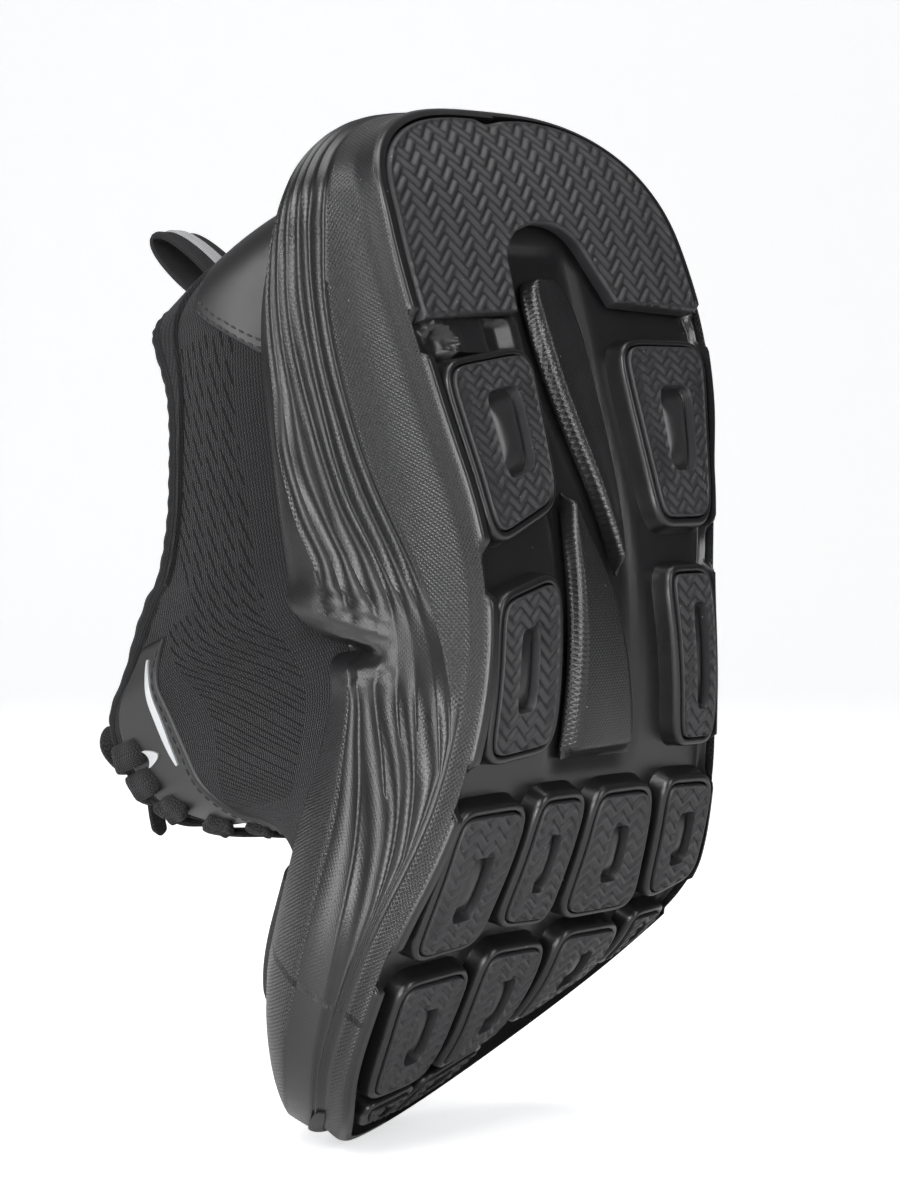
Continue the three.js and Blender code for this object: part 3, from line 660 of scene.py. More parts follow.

# %% [markdown]
# ### Knit, lining, laces and webbing
#
# A knit is rows of V-shaped loops. Two waves make it: one across the rows, and one along them
# whose phase follows a zigzag, so that every row shows as a line of small Vs. The loops' colour
# follows their height, with some random variation: painted shade in the grooves between them and
# a painted highlight on their crests. The long slits are holes left in the knit: lines every 3 mm,
# broken into dashes that step from row to row; their near-black colour is painted shade inside them.

# %% Cloth materials


def cloth(name, dark, light, wide, high, depth, slits=False, vee=0.35, rough=0.9, sheen=0.12):
    m = Shader(name, dark, rough)
    m.set(m.bsdf, **{"Sheen Weight": sheen, "Sheen Roughness": 0.4,
                     "Sheen Tint": (0.5, 0.5, 0.52, 1), "Specular IOR Level": 0.25})
    flat, _ = m.attribute("flat")
    _, pat = m.attribute("pat")
    zigzag = m.math("ABSOLUTE", m.math("SUBTRACT", m.math("FRACT", m.math("DIVIDE", pat[0], wide)), 0.5))
    row = m.math("ADD", pat[1], m.math("MULTIPLY", zigzag, 2 * vee * high))
    loops = m.math("MULTIPLY", m.wave(row, high), m.math("MULTIPLY_ADD", m.wave(pat[0], wide / 2), 0.5, 0.5))
    fuzz = m.noise(flat, 6.0, 3.0, 0.7)
    clouds = m.noise(flat, 0.12, 3.0)
    # Colour follows the loops' height: painted shade in the grooves, a painted highlight on the crests,
    # varied at random by the clouds.
    loop_shade_and_tone = m.math("MULTIPLY", loops, m.math("MULTIPLY_ADD", clouds, 0.7, 0.4))
    color = m.tint(loop_shade_and_tone, dark, light)
    layers = [(fuzz, depth * 0.3), (loops, depth)]
    if slits:
        _, slit = m.attribute("slit")
        lane = m.math("DIVIDE", slit[1], 3.1)
        across = m.math("ABSOLUTE", m.math("SUBTRACT", m.math("FRACT", lane), 0.5))
        number = m.math("FLOOR", lane)
        shifted = m.math("MULTIPLY", number, 0.37)
        along = m.math("FRACT", m.math("ADD", m.math("DIVIDE", slit[0], 10.0), shifted))
        off_middle = m.math("ABSOLUTE", m.math("SUBTRACT", along, 0.5))
        near = m.math("SUBTRACT", 1.0, m.math("MULTIPLY", off_middle, 2.0))
        open_ = m.math("LESS_THAN", across, m.math("MULTIPLY", m.math("MINIMUM", near, 0.5), 0.26))
        # Near black in the slits: painted shade inside the holes, which are only a dip in the bump.
        hole = m.math("MULTIPLY", open_, m.math("GREATER_THAN", slit[2], 0.5))
        color = m.tint(hole, color, (0.0016, 0.0016, 0.0018))
        layers.append((m.math("SUBTRACT", 1.0, hole), 0.6))
        m.set(m.bsdf, **{"Sheen Weight": m.between(sheen, 0.0, hole)})
    m.set(m.bsdf, **{"Base Color": color})
    m.bump(*layers)
    return m


knit = cloth("knit", (0.003, 0.003, 0.0034), (0.02, 0.02, 0.022), 1.35, 0.95, 0.32, slits=True)
lining = cloth("lining", (0.006, 0.006, 0.0065), (0.022, 0.022, 0.024), 0.8, 0.8, 0.16, sheen=0.2)
lace = cloth("lace", (0.006, 0.006, 0.0065), (0.03, 0.03, 0.032), 1.1, 0.9, 0.3, vee=0.7)
rolled = cloth("binding", (0.005, 0.005, 0.0055), (0.02, 0.02, 0.022), 0.9, 0.7, 0.2, sheen=0.08)
webbing = cloth("webbing", (0.005, 0.005, 0.0055), (0.028, 0.028, 0.03), 0.9, 0.6, 0.12)
stripe = cloth("stripe", (0.22, 0.22, 0.225), (0.42, 0.42, 0.43), 0.9, 0.6, 0.1, rough=0.8)
board = cloth("lasting_board", (0.1, 0.095, 0.085), (0.2, 0.19, 0.175), 0.9, 0.9, 0.15)
thread = cloth("thread", (0.02, 0.02, 0.022), (0.06, 0.06, 0.065), 0.5, 0.5, 0.08)

silver = Shader("reflector", (0.6, 0.61, 0.62), 0.38, Metallic=0.75)
beads, _ = silver.attribute("flat")
silver.bump((silver.noise(beads, 4.0), 0.03))
print("materials:", len(bpy.data.materials))

# %% [markdown]
# ## The midsole
#
# On the real shoe this is one foam moulding, a tub that the upper sits in. It was made in a
# hinged mould, which left a fine parting line along the wall, and its wall is fluted: sharp
# crests with hollow grooves between them, like a pressed shell. Where the sole is bent the wall
# has nowhere to go, so it swells and creases.
#
# The wall's net is drawn so that its columns run along the crests. A crest is then a row of
# points and stays sharp, however few columns lie between.

# %% Lines on the wall
# Heights of the parting line and the crests along the shoe, in thousandths of the wall.
CRESTS = [
    through((0, 120), (20, 160), (30, 200), (50, 280), (75, 310), (100, 280), (120, 200), (140, 100),
            (157, 12)),
    through((0, 230), (20, 260), (30, 310), (50, 360), (70, 385), (100, 340), (125, 240), (150, 120),
            (165, 24)),
    through((0, 350), (20, 380), (45, 420), (65, 450), (90, 450), (110, 390), (128, 300), (150, 250),
            (170, 120), (185, 36)),
    through((0, 470), (25, 500), (45, 545), (70, 545), (95, 500), (125, 375), (150, 380), (170, 200),
            (185, 100), (200, 48)),
    through((0, 590), (25, 620), (60, 655), (80, 630), (100, 590), (115, 530), (130, 470), (150, 550),
            (165, 400), (180, 220), (195, 110), (210, 62)),
    through((0, 700), (28, 735), (55, 740), (80, 775), (100, 700), (112, 650), (127, 620), (145, 700),
            (160, 650), (175, 500), (190, 330), (205, 220), (225, 140), (245, 100)),
    through((0, 810), (28, 830), (60, 850), (75, 915), (90, 870), (105, 800), (120, 750), (132, 770),
            (150, 800), (170, 740), (190, 600), (210, 500), (245, 420)),
]
# Depth of the grooves along the shoe, in millimetres.
FLUTE = through((0, 0.6), (18, 1.3), (40, 1.9), (108, 1.9), (122, 0.9), (130, 0.15), (143, 0.15),
                (152, 0.7), (200, 0.9), (250, 0.7), (283, 0.3))


def wall_net(ribs, per_band=9):
    """Heights (ribs, columns) whose columns follow the crests, and the flute's depth there."""
    s = ribs[1][:, 0]
    lines = [np.full_like(s, 0.004)]
    for k, crest in enumerate(CRESTS):
        lines.append(np.maximum(crest(s), lines[-1] + 0.012))
    lines.append(np.full_like(s, 1.0))
    h, dip, band = [], [], []
    u = np.linspace(0, 1, per_band, endpoint=False)
    for k in range(len(lines) - 1):
        h.append(lerp(lines[k][:, None], lines[k + 1][:, None], u[None]))
        wide = np.clip((lines[k + 1] - lines[k])[:, None] / 0.09, 0, 1.2)
        hollow = -4 * u * (1 - u) * FLUTE(s)[:, None] * wide
        dip.append(hollow * (0.12 if k == 0 else 0.35 if k == 7 else 1.0))
        band.append(np.full_like(h[-1], k))
    h.append(np.ones((len(s), 1)))
    return np.concatenate(h, 1), np.concatenate(dip + [np.zeros((len(s), 1))], 1), np.concatenate(
        band + [np.full((len(s), 1), 7)], 1)


def fold(s, h):
    """How far the bent wall stands out, in metres: a swell behind the crease, the crease, and
    small creases that fan out from it."""
    high = step(h, 0.42, 0.75)
    out = 3.6 * hill(s, 0.1255, 0.0085) * step(h, 0.5, 0.85) - 5.5 * hill(s, 0.1392, 0.0026) * high
    out += 1.3 * hill(s, 0.146, 0.005) * high - 2.5 * hill(s, 0.1392, 0.0075) * step(h, 0.55, 0.9)
    creases = ((0.010, 0.1345, 0.9), (0.018, 0.1295, 0.7), (0.026, 0.124, 0.5), (-0.010, 0.1445, 0.8))
    for slope, at, deep in creases:
        centre = at - slope * (h - 0.55)
        out -= deep * hill(s, centre, 0.0009) * step(h, 0.36, 0.5) * step(-h, -0.93, -0.75)
    return out * MM


# %% [markdown]
# The underside is a shallow landscape: a rim along the outline, a floor 6 mm up that the rubber
# pads sit on, and a deeper channel down the middle.

# %% Underside


def underside(s, y, d, side):
    """Lift of the foam above the tread at (s, y), a distance d inside the outline."""
    gaps = [0.064, 0.120, 0.166, 0.210] if side > 0 else [0.060, 0.1165, 0.165, 0.203]
    notch = sum(step(-abs(s - g), -0.0062, -0.0035) for g in gaps)
    width = 0.0026 if side > 0 else np.where(s < 0.058, 0.0018, 0.0009)
    rim_level = lerp(0.0009, 0.0042, notch)
    lift = lerp(rim_level, 0.0061, step(d, width, width + 0.0012))
    lift += 0.0008 * np.clip(1 - d / 0.0009, 0, None) ** 2
    channel = step(-abs(y + 0.002), -0.019, -0.012) * step(s, 0.036, 0.042) * step(-s, -0.168, -0.160)
    lift += 0.0022 * channel
    if side > 0:
        bridge = step(-abs(s - 0.0635), -0.0062, -0.0048) * step(y, 0.012, 0.014) * step(-y, -0.051, -0.049)
        lift = lerp(lift, 0.0026, bridge)
        r = np.hypot(s - 0.0662, y - 0.0465)
        lift += 0.0034 * step(-r, -0.0044, -0.0030) - 0.0009 * hill(r, 0.0055, 0.0011)
        slot = step(-abs(s - 0.0635), -0.0046, -0.0036) * step(-abs(y - 0.024), -0.0042, -0.0032)
        lift += 0.0026 * slot
    return lift


NEAR_EDGE = np.array([9, 7.6, 6.4, 5.5, 4.8, 4.2, 3.8, 3.4, 3.0, 2.6, 2.2, 1.8, 1.4, 1.0, 0.6, 0.25, 0]) * MM


def tub_net(ribs, first_medial):
    c, t, b = ribs
    near = toward(t[:, None], c[:, None], NEAR_EDGE[None])
    f = np.linspace(0, 1, 25)[:-1]
    across = c[:, None] + (near[:, :1] - c[:, None]) * f[None, :, None]
    bottom = np.concatenate([across, near], 1)
    d = np.linalg.norm(bottom - t[:, None], axis=-1)
    lift = np.where(first_medial[:, None], underside(bottom[..., 0], bottom[..., 1], d, 1),
                    underside(bottom[..., 0], bottom[..., 1], d, -1))
    base = on_tread(bottom, lift)
    # the foot of the wall, from the rim along the outline up to where the wall proper starts
    foot_lift = np.array([2.4, 3.6, 5.0, 6.6]) * MM
    foot_out = np.array([0.25, 0.35, 0.3, 0.15]) * MM
    foot = toward(t[:, None], c[:, None], -foot_out[None])
    foot = np.concatenate([foot, (tread(t[:, 0], t[:, 1])[:, None] + foot_lift)[..., None]], -1)
    h, dip, band = wall_net(ribs)
    rows = np.arange(len(t))[:, None]
    p = t[:, None] + (b - t)[:, None] * (h**2)[..., None]
    out = bulge(h) + dip + fold(t[:, :1], h)
    p = toward(p, c[:, None], -out)
    low = tread(t[:, 0], t[:, 1])[:, None] + PAD_DEPTH + 0.0025
    high = (tread(b[:, 0], b[:, 1]) + rim_height(b[:, 0]))[:, None]
    side = np.concatenate([p, (low * (1 - h) + high * h)[..., None]], -1)
    # over the rim, down inside and across the bed
    over_in = np.array([0.5, 1.3, 2.6, 3.5, 4.0]) * MM
    over_up = np.array([0.55, 0.9, 0.85, 0.5, -0.2]) * MM
    over = toward(side[:, -1:, :2], c[:, None], over_in[None])
    over = np.concatenate([over, high[..., None] + over_up[None, :, None] + np.zeros((len(t), 5, 1))], -1)
    edge = toward(b, c, np.full(len(b), RIM))
    down = np.array([0.66, 0.33, 0.0])
    floor = tread(edge[:, 0], edge[:, 1]) + bed_height(edge[:, 0]) + 0.001
    inside = np.concatenate([np.repeat(edge[:, None], 3, 1),
                             (floor[:, None] + (high - floor[:, None]) * down)[..., None]], -1)
    g = np.array([0.93, 0.7, 0.35, 0.0])
    bed = c[:, None] + (edge - c)[:, None] * g[None, :, None]
    bed = np.concatenate([bed, (tread(bed[..., 0], bed[..., 1]) + bed_height(bed[..., 0]))[..., None]], -1)
    points = np.concatenate([base, foot, side, over, inside, bed], 1)
    texture = np.zeros(points.shape[:2])
    at = base.shape[1] + foot.shape[1]
    ahead = step(t[:, :1], 0.140, 0.152)
    hatch = np.where(band == 0, 1.0 - ahead, np.where(band == 7, 0.4 + 0.6 * ahead, 0.1))
    texture[:, base.shape[1] : at] = 0.7
    texture[:, at : at + side.shape[1]] = hatch
    return points, texture


ribs = all_ribs(150, 48)
medial = np.arange(len(ribs[0])) < 150 + 47
medial |= np.arange(len(ribs[0])) >= len(ribs[0]) - 47
flat, texture = tub_net(ribs, medial)
run = np.concatenate([[0], np.cumsum(np.linalg.norm(np.diff(ribs[1], axis=0), axis=1))])
pattern = np.stack([np.broadcast_to(run[:, None] * 1000, texture.shape), flat[..., 2] * 1000, texture], -1)
tub = net(flexed(flat), wrap_rows=True)
tub_values = {"flat": [flat.reshape(-1, 3) * 1000], "pat": [pattern.reshape(-1, 3)]}
print("tub net:", flat.shape)

# %% [markdown]
# ## Pads and the rails round them
#
# Each rubber pad lies in a low foam rail that keeps its edge from peeling. A pad is a quad with
# rounded corners; the outline at an angle a is the superellipse |x|^7 + |y|^7 = 1 stretched over
# its four corners. Rings of points run from the middle of its window out to its edge.

# %% Pads
PADS = {
    # name: corners (s, y) outer rear, inner rear, inner front, outer front; window: from and to
    # along the shoe, then from the outer edge inwards; how the window is filled
    "pad_arch_medial": (
        [[73, 48.5], [68.5, 16], [105, 17.5], [113, 42.5]],
        (0.2, 0.77, 0.34, 0.78), 1.0),
    "pad_arch_lateral": (
        [[66, -58.5], [66, -24.5], [110, -25.5], [110, -45.5]],
        (0.25, 0.76, 0.2, 0.66), 1.0),
    "pad_waist_medial": (
        [[127, 42.5], [122.5, 21], [157, 21.5], [159, 44.5]],
        (0.22, 0.74, 0.3, 0.62), 0.55),
    "pad_waist_lateral": (
        [[122.5, -42.5], [122.5, -26.5], [159, -33.5], [159, -46.5]],
        (0.18, 0.82, 0.22, 0.58), 0.55),
    "pad_fore_1a": (
        [[172, 50.5], [171.5, 26.5], [204.5, 29.5], [207, 51.5]],
        (0.28, 0.76, 0.34, 0.7), 0.8),
    "pad_fore_1b": (
        [[170.5, 19.5], [170.5, 3.5], [201, 3.5], [200.5, 21]],
        (0.25, 0.72, 0.34, 0.64), 0.8),
    "pad_fore_1c": (
        [[170.5, -24.5], [170.5, -3.5], [201, -4.5], [200.5, -32]],
        (0.25, 0.72, 0.34, 0.64), 0.8),
    "pad_fore_1d": (
        [[170.5, -50.5], [170, -32.5], [199, -39.5], [194.5, -55.5]],
        (0.25, 0.75, 0.3, 0.7), 0.8),
    "pad_fore_2a": (
        [[216.5, 50.5], [214.5, 27.5], [246.5, 27.5], [248.5, 46.5]],
        (0.25, 0.75, 0.34, 0.68), 0.8),
    "pad_fore_2b": (
        [[210.5, 20.5], [210.5, -0.5], [240, -0.5], [245.5, 19.5]],
        (0.25, 0.75, 0.34, 0.66), 0.8),
    "pad_fore_2c": (
        [[208.5, -30.5], [208.5, -8.5], [237.5, -8.5], [227.5, -36]],
        (0.25, 0.75, 0.34, 0.66), 0.8),
    "pad_fore_2d": (
        [[206.5, -51.5], [206.5, -38.5], [224.5, -42.5], [217, -50.5]],
        (0.25, 0.75, 0.34, 0.66), 0.8),
    "pad_toe_a": (
        [[254.5, 42.5], [252.5, 25.5], [264.5, 22.5], [261.5, 35.5]],
        (0.25, 0.75, 0.3, 0.7), 0.8),
    "pad_toe_b": (
        [[251.5, 18.5], [246.5, -3.5], [260.5, -4.5], [266.5, 15.5]],
        (0.25, 0.75, 0.3, 0.7), 0.8),
}


def outline(corners, window, n, power=7):
    """n points round the part of a quad between the given shares, with rounded corners."""
    a, b, c, d = np.array(corners, float) * MM
    angle = np.linspace(0, 2 * np.pi, n, endpoint=False)
    x, y = np.cos(angle), np.sin(angle)
    size = (np.abs(x) ** power + np.abs(y) ** power) ** (-1 / power)
    u0, u1, v0, v1 = window
    u = (lerp(u0, u1, (x * size + 1) / 2))[:, None]
    v = (lerp(v0, v1, (y * size + 1) / 2))[:, None]
    return lerp(lerp(a, d, u), lerp(b, c, u), v)


def chevrons(s, y, pitch, wave, swing):
    """Zigzag ribs: 0 on a crest, 1 in a groove. The ribs lie across the shoe, pitch apart, and
    swing to and fro once every wave."""
    zig = np.abs(((y / wave) % 1) - 0.5) * 4 - 1
    zig = np.sin(zig * np.pi / 2) * 0.35 + zig * 0.65
    phase = (s + swing * zig) / pitch * 2 * np.pi
    return (0.5 - 0.5 * np.cos(phase)) ** 1.3


def pad_net(corners, window, fill, n=150):
    """Rings of a pad and the material of each ring: 0 rubber, 1 the glossy foam in its window."""
    edge = outline(corners, (0, 1, 0, 1), n)
    hole = outline(corners, window, n, 5)
    centre = hole.mean(0)
    rings, lifts, kinds = [], [], []

    def ring(points, lift, kind):
        rings.append(points)
        lifts.append(np.broadcast_to(lift, n))
        kinds.append(kind)

    for f in np.linspace(0.02, 0.9, 9):
        ring(lerp(centre, hole, f), (3.0 - fill * 2.2 * (1 - (f / 0.9) ** 2.4)) * MM, 1)
    ring(lerp(centre, hole, 0.97), 3.1 * MM, 1)
    ring(lerp(centre, hole, 0.995), 2.6 * MM, 0)
    ring(hole, 1.1 * MM, 0)
    for f in np.linspace(0.03, 0.955, 26):
        p = lerp(hole, edge, f)
        calm = step(f, 0.0, 0.12) * step(-f, -0.98, -0.9)
        cut = chevrons(p[:, 0], p[:, 1], 0.0031, 0.0072, 0.00125) * calm
        ring(p, (0.25 + 0.75 * cut) * MM, 0)
    side = ((0.97, 0.35), (0.985, 0.5), (0.996, 0.9), (1.0, 1.6), (1.0, 3.2), (0.998, 5.2), (0.5, 5.2))
    for f, lift in side:
        ring(lerp(hole, edge, f), lift * MM, 0)
    ring(lerp(centre, hole, 0.1), 5.2 * MM, 0)
    return np.stack(rings), np.stack(lifts), np.array(kinds)


def rail_net(corners, n=110):
    """A rail round a pad: a low rounded ridge swept along the pad's outline."""
    line = outline(corners, (0, 1, 0, 1), n)
    along = np.roll(line, -1, 0) - np.roll(line, 1, 0)
    out = np.stack([along[:, 1], -along[:, 0]], -1)
    out /= np.linalg.norm(out, axis=1, keepdims=True)
    out *= np.sign(((line - line.mean(0)) * out).sum(1).sum())
    shape = np.array([[0.2, 6.6], [0.2, 2.0], [0.35, 1.35], [0.7, 1.0], [1.2, 0.95], [1.7, 1.15], [2.1, 1.7],
                      [2.35, 2.7], [2.7, 4.6], [3.3, 6.6]]) * MM
    p = line[:, None] + out[:, None] * shape[None, :, :1]
    top = tread_medial(p[..., 0]) - 0.0004
    low = tread_lateral(p[..., 0]) + 0.0004
    p[..., 1] = np.clip(p[..., 1], low, top)
    return on_tread(p, shape[None, :, 1])


rails, rail_values, rail_patterns = [], [], []
for name, (corners, window, fill) in PADS.items():
    rings, lifts, kinds = pad_net(corners, window, fill)
    flat_pad = on_tread(rings, lifts)
    co, quads = net(flexed(flat_pad), wrap_columns=True, caps=True)
    ring_of = np.minimum(quads[:, 0] // rings.shape[1], len(kinds) - 1)
    is_cap = quads.max(1) >= rings.shape[0] * rings.shape[1]
    kind = np.where(is_cap, np.where(quads[:, 0] < rings.shape[1], 1, 0), kinds[ring_of])
    grain = with_ends(flat_pad) * 1000
    obj = mesh_object("rubber_" + name, [(co, quads)], {"flat": [grain]}, sharp=55, kinds=[kind])
    body = "bend" if "waist" in name else "rearfoot" if "arch" in name else "forefoot"
    stands_for = [name, name + "_front"] if "waist" in name else [name]
    place(obj, body, [rubber.material, gloss.material], stands_for)
    rail = rail_net(corners)
    rails.append(net(flexed(rail), wrap_rows=True, wrap_columns=True))
    rail_values.append(rail.reshape(-1, 3) * 1000)
    rail_patterns.append(np.zeros((rail.shape[0] * rail.shape[1], 3)))

midsole_values = {"flat": tub_values["flat"] + rail_values, "pat": tub_values["pat"] + rail_patterns}
midsole = mesh_object("midsole", [tub, *rails], midsole_values, sharp=60)
place(midsole, "bend", foam.material, ["midsole_rear", "midsole_flex", "midsole_front"])

# %% [markdown]
# ## Heel pad and the two bars in the channel
#
# The heel pad is a horseshoe. Its net has one row of points for each place along the U and one
# column from the inner curve to the outer one; each row goes on round the back, so the pad is a
# closed solid. The bars are tapered blades of foam with the same diamond texture as the wall.

# %% Heel pad
around = np.linspace(0.0605, HEEL_ROUND, 40)[:-1]
left = side_ribs(around, 1)
turn = np.arccos(np.cos(np.linspace(np.pi / 2, 0, 70)) ** 1.25)
back = joined(end_ribs(turn, 1, True), end_ribs(turn[::-1][1:], -1, True))
right = side_ribs(np.linspace(HEEL_ROUND, 0.0575, 38)[1:], -1)
c, t, _ = joined(left, back, right)
outer = toward(t, c, np.where(np.arange(len(t)) < 110, 0.0036, 0.0029))
inner_line = path(np.array([[58, 16.5], [50, 16], [43, 15.5], [37.5, 11], [34.8, 4], [34.2, -3], [35.2, -9],
                            [38.5, -14.5], [45, -19], [54.5, -25.5]]) * MM, len(t))
outer_line = path(outer[::4], 330)
inner_line = path(inner_line, 330)
share = np.concatenate([[0, 0.004, 0.010, 0.018], np.linspace(0.03, 0.97, 118), [0.982, 0.99, 0.996, 1]])
sy = lerp(inner_line[:, None], outer_line[:, None], share[None, :, None])
width = np.linalg.norm(outer_line - inner_line, axis=1)[:, None]
to_side = np.minimum(share, 1 - share)[None] * width
run = np.concatenate([[0], np.cumsum(np.linalg.norm(np.diff(sy[:, 60], axis=0), axis=1))])
to_end = np.minimum(run, run[-1] - run)[:, None]
edge = np.minimum(to_side, to_end)
calm = step(edge, 0.0005, 0.0018)
cut = chevrons(sy[..., 0], sy[..., 1] + 0.0015, 0.0038, 0.0098, 0.0021)
oval = step(-np.hypot((sy[..., 0] - 0.0015) / 0.0045, (sy[..., 1] - 0.001) / 0.007), -1.0, -0.55)
lift = 0.00025 + 0.0009 * cut * calm + 0.0011 * step(-edge, -0.0006, 0.0) ** 2 + 0.0022 * oval
top = on_tread(sy, lift)
low = on_tread(sy[:, ::-20], 0.0052)
flat_pad = np.concatenate([top, low], 1)
closed_piece("rubber_heel_pad", flat_pad, "rearfoot", rubber.material, ["heel_pad"], 55,
             to_row=flexed)

# %% Bars


def blade(name, left, right, body, node, peak, n=120):
    """A tapered bar between two edges: low along its edges, with a crest off its middle."""
    a, b = path(np.array(left) * MM, n), path(np.array(right) * MM, n)
    share = np.concatenate([[0, 0.02, 0.05], np.linspace(0.1, 0.9, 16), [0.95, 0.98, 1]])
    sy = lerp(a[:, None], b[:, None], share[None, :, None])
    end = np.minimum(np.linspace(0, 1, n), np.linspace(1, 0, n))[:, None] * n
    crest = hill(share, peak, 0.42)[None]
    fall = step(np.minimum(share, 1 - share)[None] * 10, 0, 1) * step(end, 0, 7)
    lift = (6.4 - (3.0 + 1.2 * crest) * fall) * MM
    top = on_tread(sy, lift)
    flat_bar = np.concatenate([top, on_tread(sy[:, ::-7], 0.0072)], 1)
    pat = triples(flat_bar[..., 0] * 1000, flat_bar[..., 1] * 1000, 0.35)
    closed_piece(name, flat_bar, body, foam.material, [node], 70, pat, to_row=flexed)


blade("arch_blade_rear",
      [[47, 0], [49, 4.5], [53, 6], [62, 5.6], [76, 3.6], [92, -0.5], [107, -5], [122, -10]],
      [[47, -1], [49, -7], [53, -10.5], [62, -13], [78, -13.6], [94, -13.2], [109, -12], [122, -10.8]],
      "rearfoot", "arch_bar_rear", 0.25)
blade("arch_blade_front", [[103, 8], [112, 9.4], [125, 9.8], [140, 10], [154, 10], [162.5, 9.6]],
      [[103, 7.2], [112, 3], [125, -6], [140, -12.5], [154, -17], [162.5, -18.6]],
      "bend", "arch_bar_front", 0.3)

# %% [markdown]
# The toe's rubber is the front of the tread wrapped a little way up the tip.

# %% Toe wrap
a = np.linspace(0.95, 0, 40)
tip = joined(end_ribs(a, -1, False), end_ribs(a[::-1][1:], 1, False))
c, t, b = tip
rows = len(t)
rise = np.concatenate([np.linspace(0, 1, 14), np.linspace(1, 0, 8)])
ends = np.sin(np.linspace(0, np.pi, rows)) ** 0.45
face = 0.45 * np.sin(np.pi * np.clip(np.linspace(0, 1, 14), 0.06, 0.94)) ** 0.3
out = np.concatenate([face, np.full(8, -0.8)])
h = 0.02 + 0.17 * rise[None] * (0.35 + 0.65 * ends[:, None])
p = t[:, None] + (b - t)[:, None] * (h**2)[..., None]
p = toward(p, c[:, None], -(bulge(h) + out[None] * MM * np.where(out > 0, ends[:, None], 1)))
low = (tread(t[:, 0], t[:, 1]) + PAD_DEPTH + 0.0025)[:, None]
high = (tread(b[:, 0], b[:, 1]) + rim_height(b[:, 0]))[:, None]
flat_tip = np.concatenate([p, (low * (1 - h) + high * h - 0.0012)[..., None]], -1)
closed_piece("toe_wrap", flat_tip, "forefoot", rubber.material, ["toe_bumper"], 40, to_row=flexed)

# %% [markdown]
# ## The upper
#
# The knit is one stocking round the foot. Its lower edge is tucked into the foam tub, its top
# edge is the collar at the rear and the throat, where the laces are, in front. The net has a
# row for each place round the shoe and a column for each height. Panels that lie on the knit,
# such as the heel cap and the film along the laces, take their points from the same surface,
# moved out along its normal, so they follow it exactly.

# %% Edges of the upper
collar_half = through((0, 30), (36, 32), (50, 35), (76, 37), (99, 35))
collar_top = through((0, 106), (20, 106), (33, 108), (50, 104.2), (76, 109.2), (90, 116.5), (99, 124))
VAMP_END = 0.719 * LENGTH
throat_end = bend([VAMP_END - 0.002, 0.020, 0.061])
THROAT = [[99, 35, 124], [112.8, 32, 140.3], [123.2, 30, 153.8], [131.5, 27, 159], [141, 24, 159],
          [150.2, 22, 153], [158.6, 20, 137], [163.2, 19, 118.5], [*(throat_end * 1000)]]
throat_lines = [through(*[(k, p[i]) for k, p in enumerate(THROAT)]) for i in range(3)]


def throat(w):
    """Points (x, half width, z) on the throat's edge, in the bent frame; w from 0 to 1."""
    return np.stack([line(np.asarray(w) * 8 * MM) for line in throat_lines], -1)


def column(low, lip, top, c, heights, swell):
    """Points from inside the tub, over its lip, up to the edge, swelling outwards between."""
    above = np.clip(heights - TUCKED, 0, None) / (1 - TUCKED)
    base = low[:, None] + (lip - low)[:, None] * np.clip(heights / TUCKED, 0, 1)[None, :, None]
    p = base + (top - lip)[:, None] * above[None, :, None]
    v = p[..., :2] - c[:, None]
    n = np.maximum(np.linalg.norm(v, axis=-1, keepdims=True), 1e-6)
    p[..., :2] += v / n * (swell * np.sin(np.pi * above))[None, :, None]
    return p


def collar_edge(s, side, angle=None):
    """Points of the collar's top edge, along one side or, with an angle, round its back."""
    if angle is None:
        return np.stack([s, -0.001 + side * collar_half(s), collar_top(s)], -1)
    s = lerp(HEEL_ROUND, COLLAR_BACK, np.cos(angle))
    return np.stack([s, -0.001 + side * collar_half(s) * np.sin(angle) ** 0.9, collar_top(s)], -1)


# Shares of a column's height; up to TUCKED it lies inside the tub. Between the rim and the
# edge a column swells outwards by up to SWELL.
TUCKED, SWELL = 0.12, 0.003
HEIGHTS = np.concatenate([[0, TUCKED / 2], np.linspace(TUCKED, 1, 84)])


def rear_rows(c, b, top, back):
    """Columns of the upper over the rear, which stays straight; back moves their feet in."""
    foot = toward(b, c, RIM + 0.0008 + back)
    level = tread(foot[:, 0], foot[:, 1])
    low = np.concatenate([foot, (level + bed_height(foot[:, 0]) + 0.007)[:, None]], -1)
    lip = np.concatenate([foot, (level + rim_height(foot[:, 0]) + 0.001)[:, None]], -1)
    return column(low, lip, top, c, HEIGHTS, SWELL)


def vamp_rows(w, side):
    """Columns of the upper between the start of the bend and the toe box."""
    s = lerp(BEND_START + GAP, VAMP_END - GAP, w)
    c, _, b = side_ribs(s, side)
    foot = toward(b, c, RIM + 0.0008)
    level = tread(foot[:, 0], foot[:, 1])
    low = bend(np.concatenate([foot, (level + bed_height(s) + 0.007)[:, None]], -1))
    lip = bend(np.concatenate([foot, (level + rim_height(s) + 0.001)[:, None]], -1))
    top = throat(w)
    top[:, 1] = top[:, 1] if side > 0 else -0.002 - top[:, 1]
    middle_x = bend(np.concatenate([c, (level + rim_height(s))[:, None]], -1))[:, 0]
    return column(low, lip, top, np.stack([middle_x, c[:, 1]], -1), HEIGHTS, SWELL)


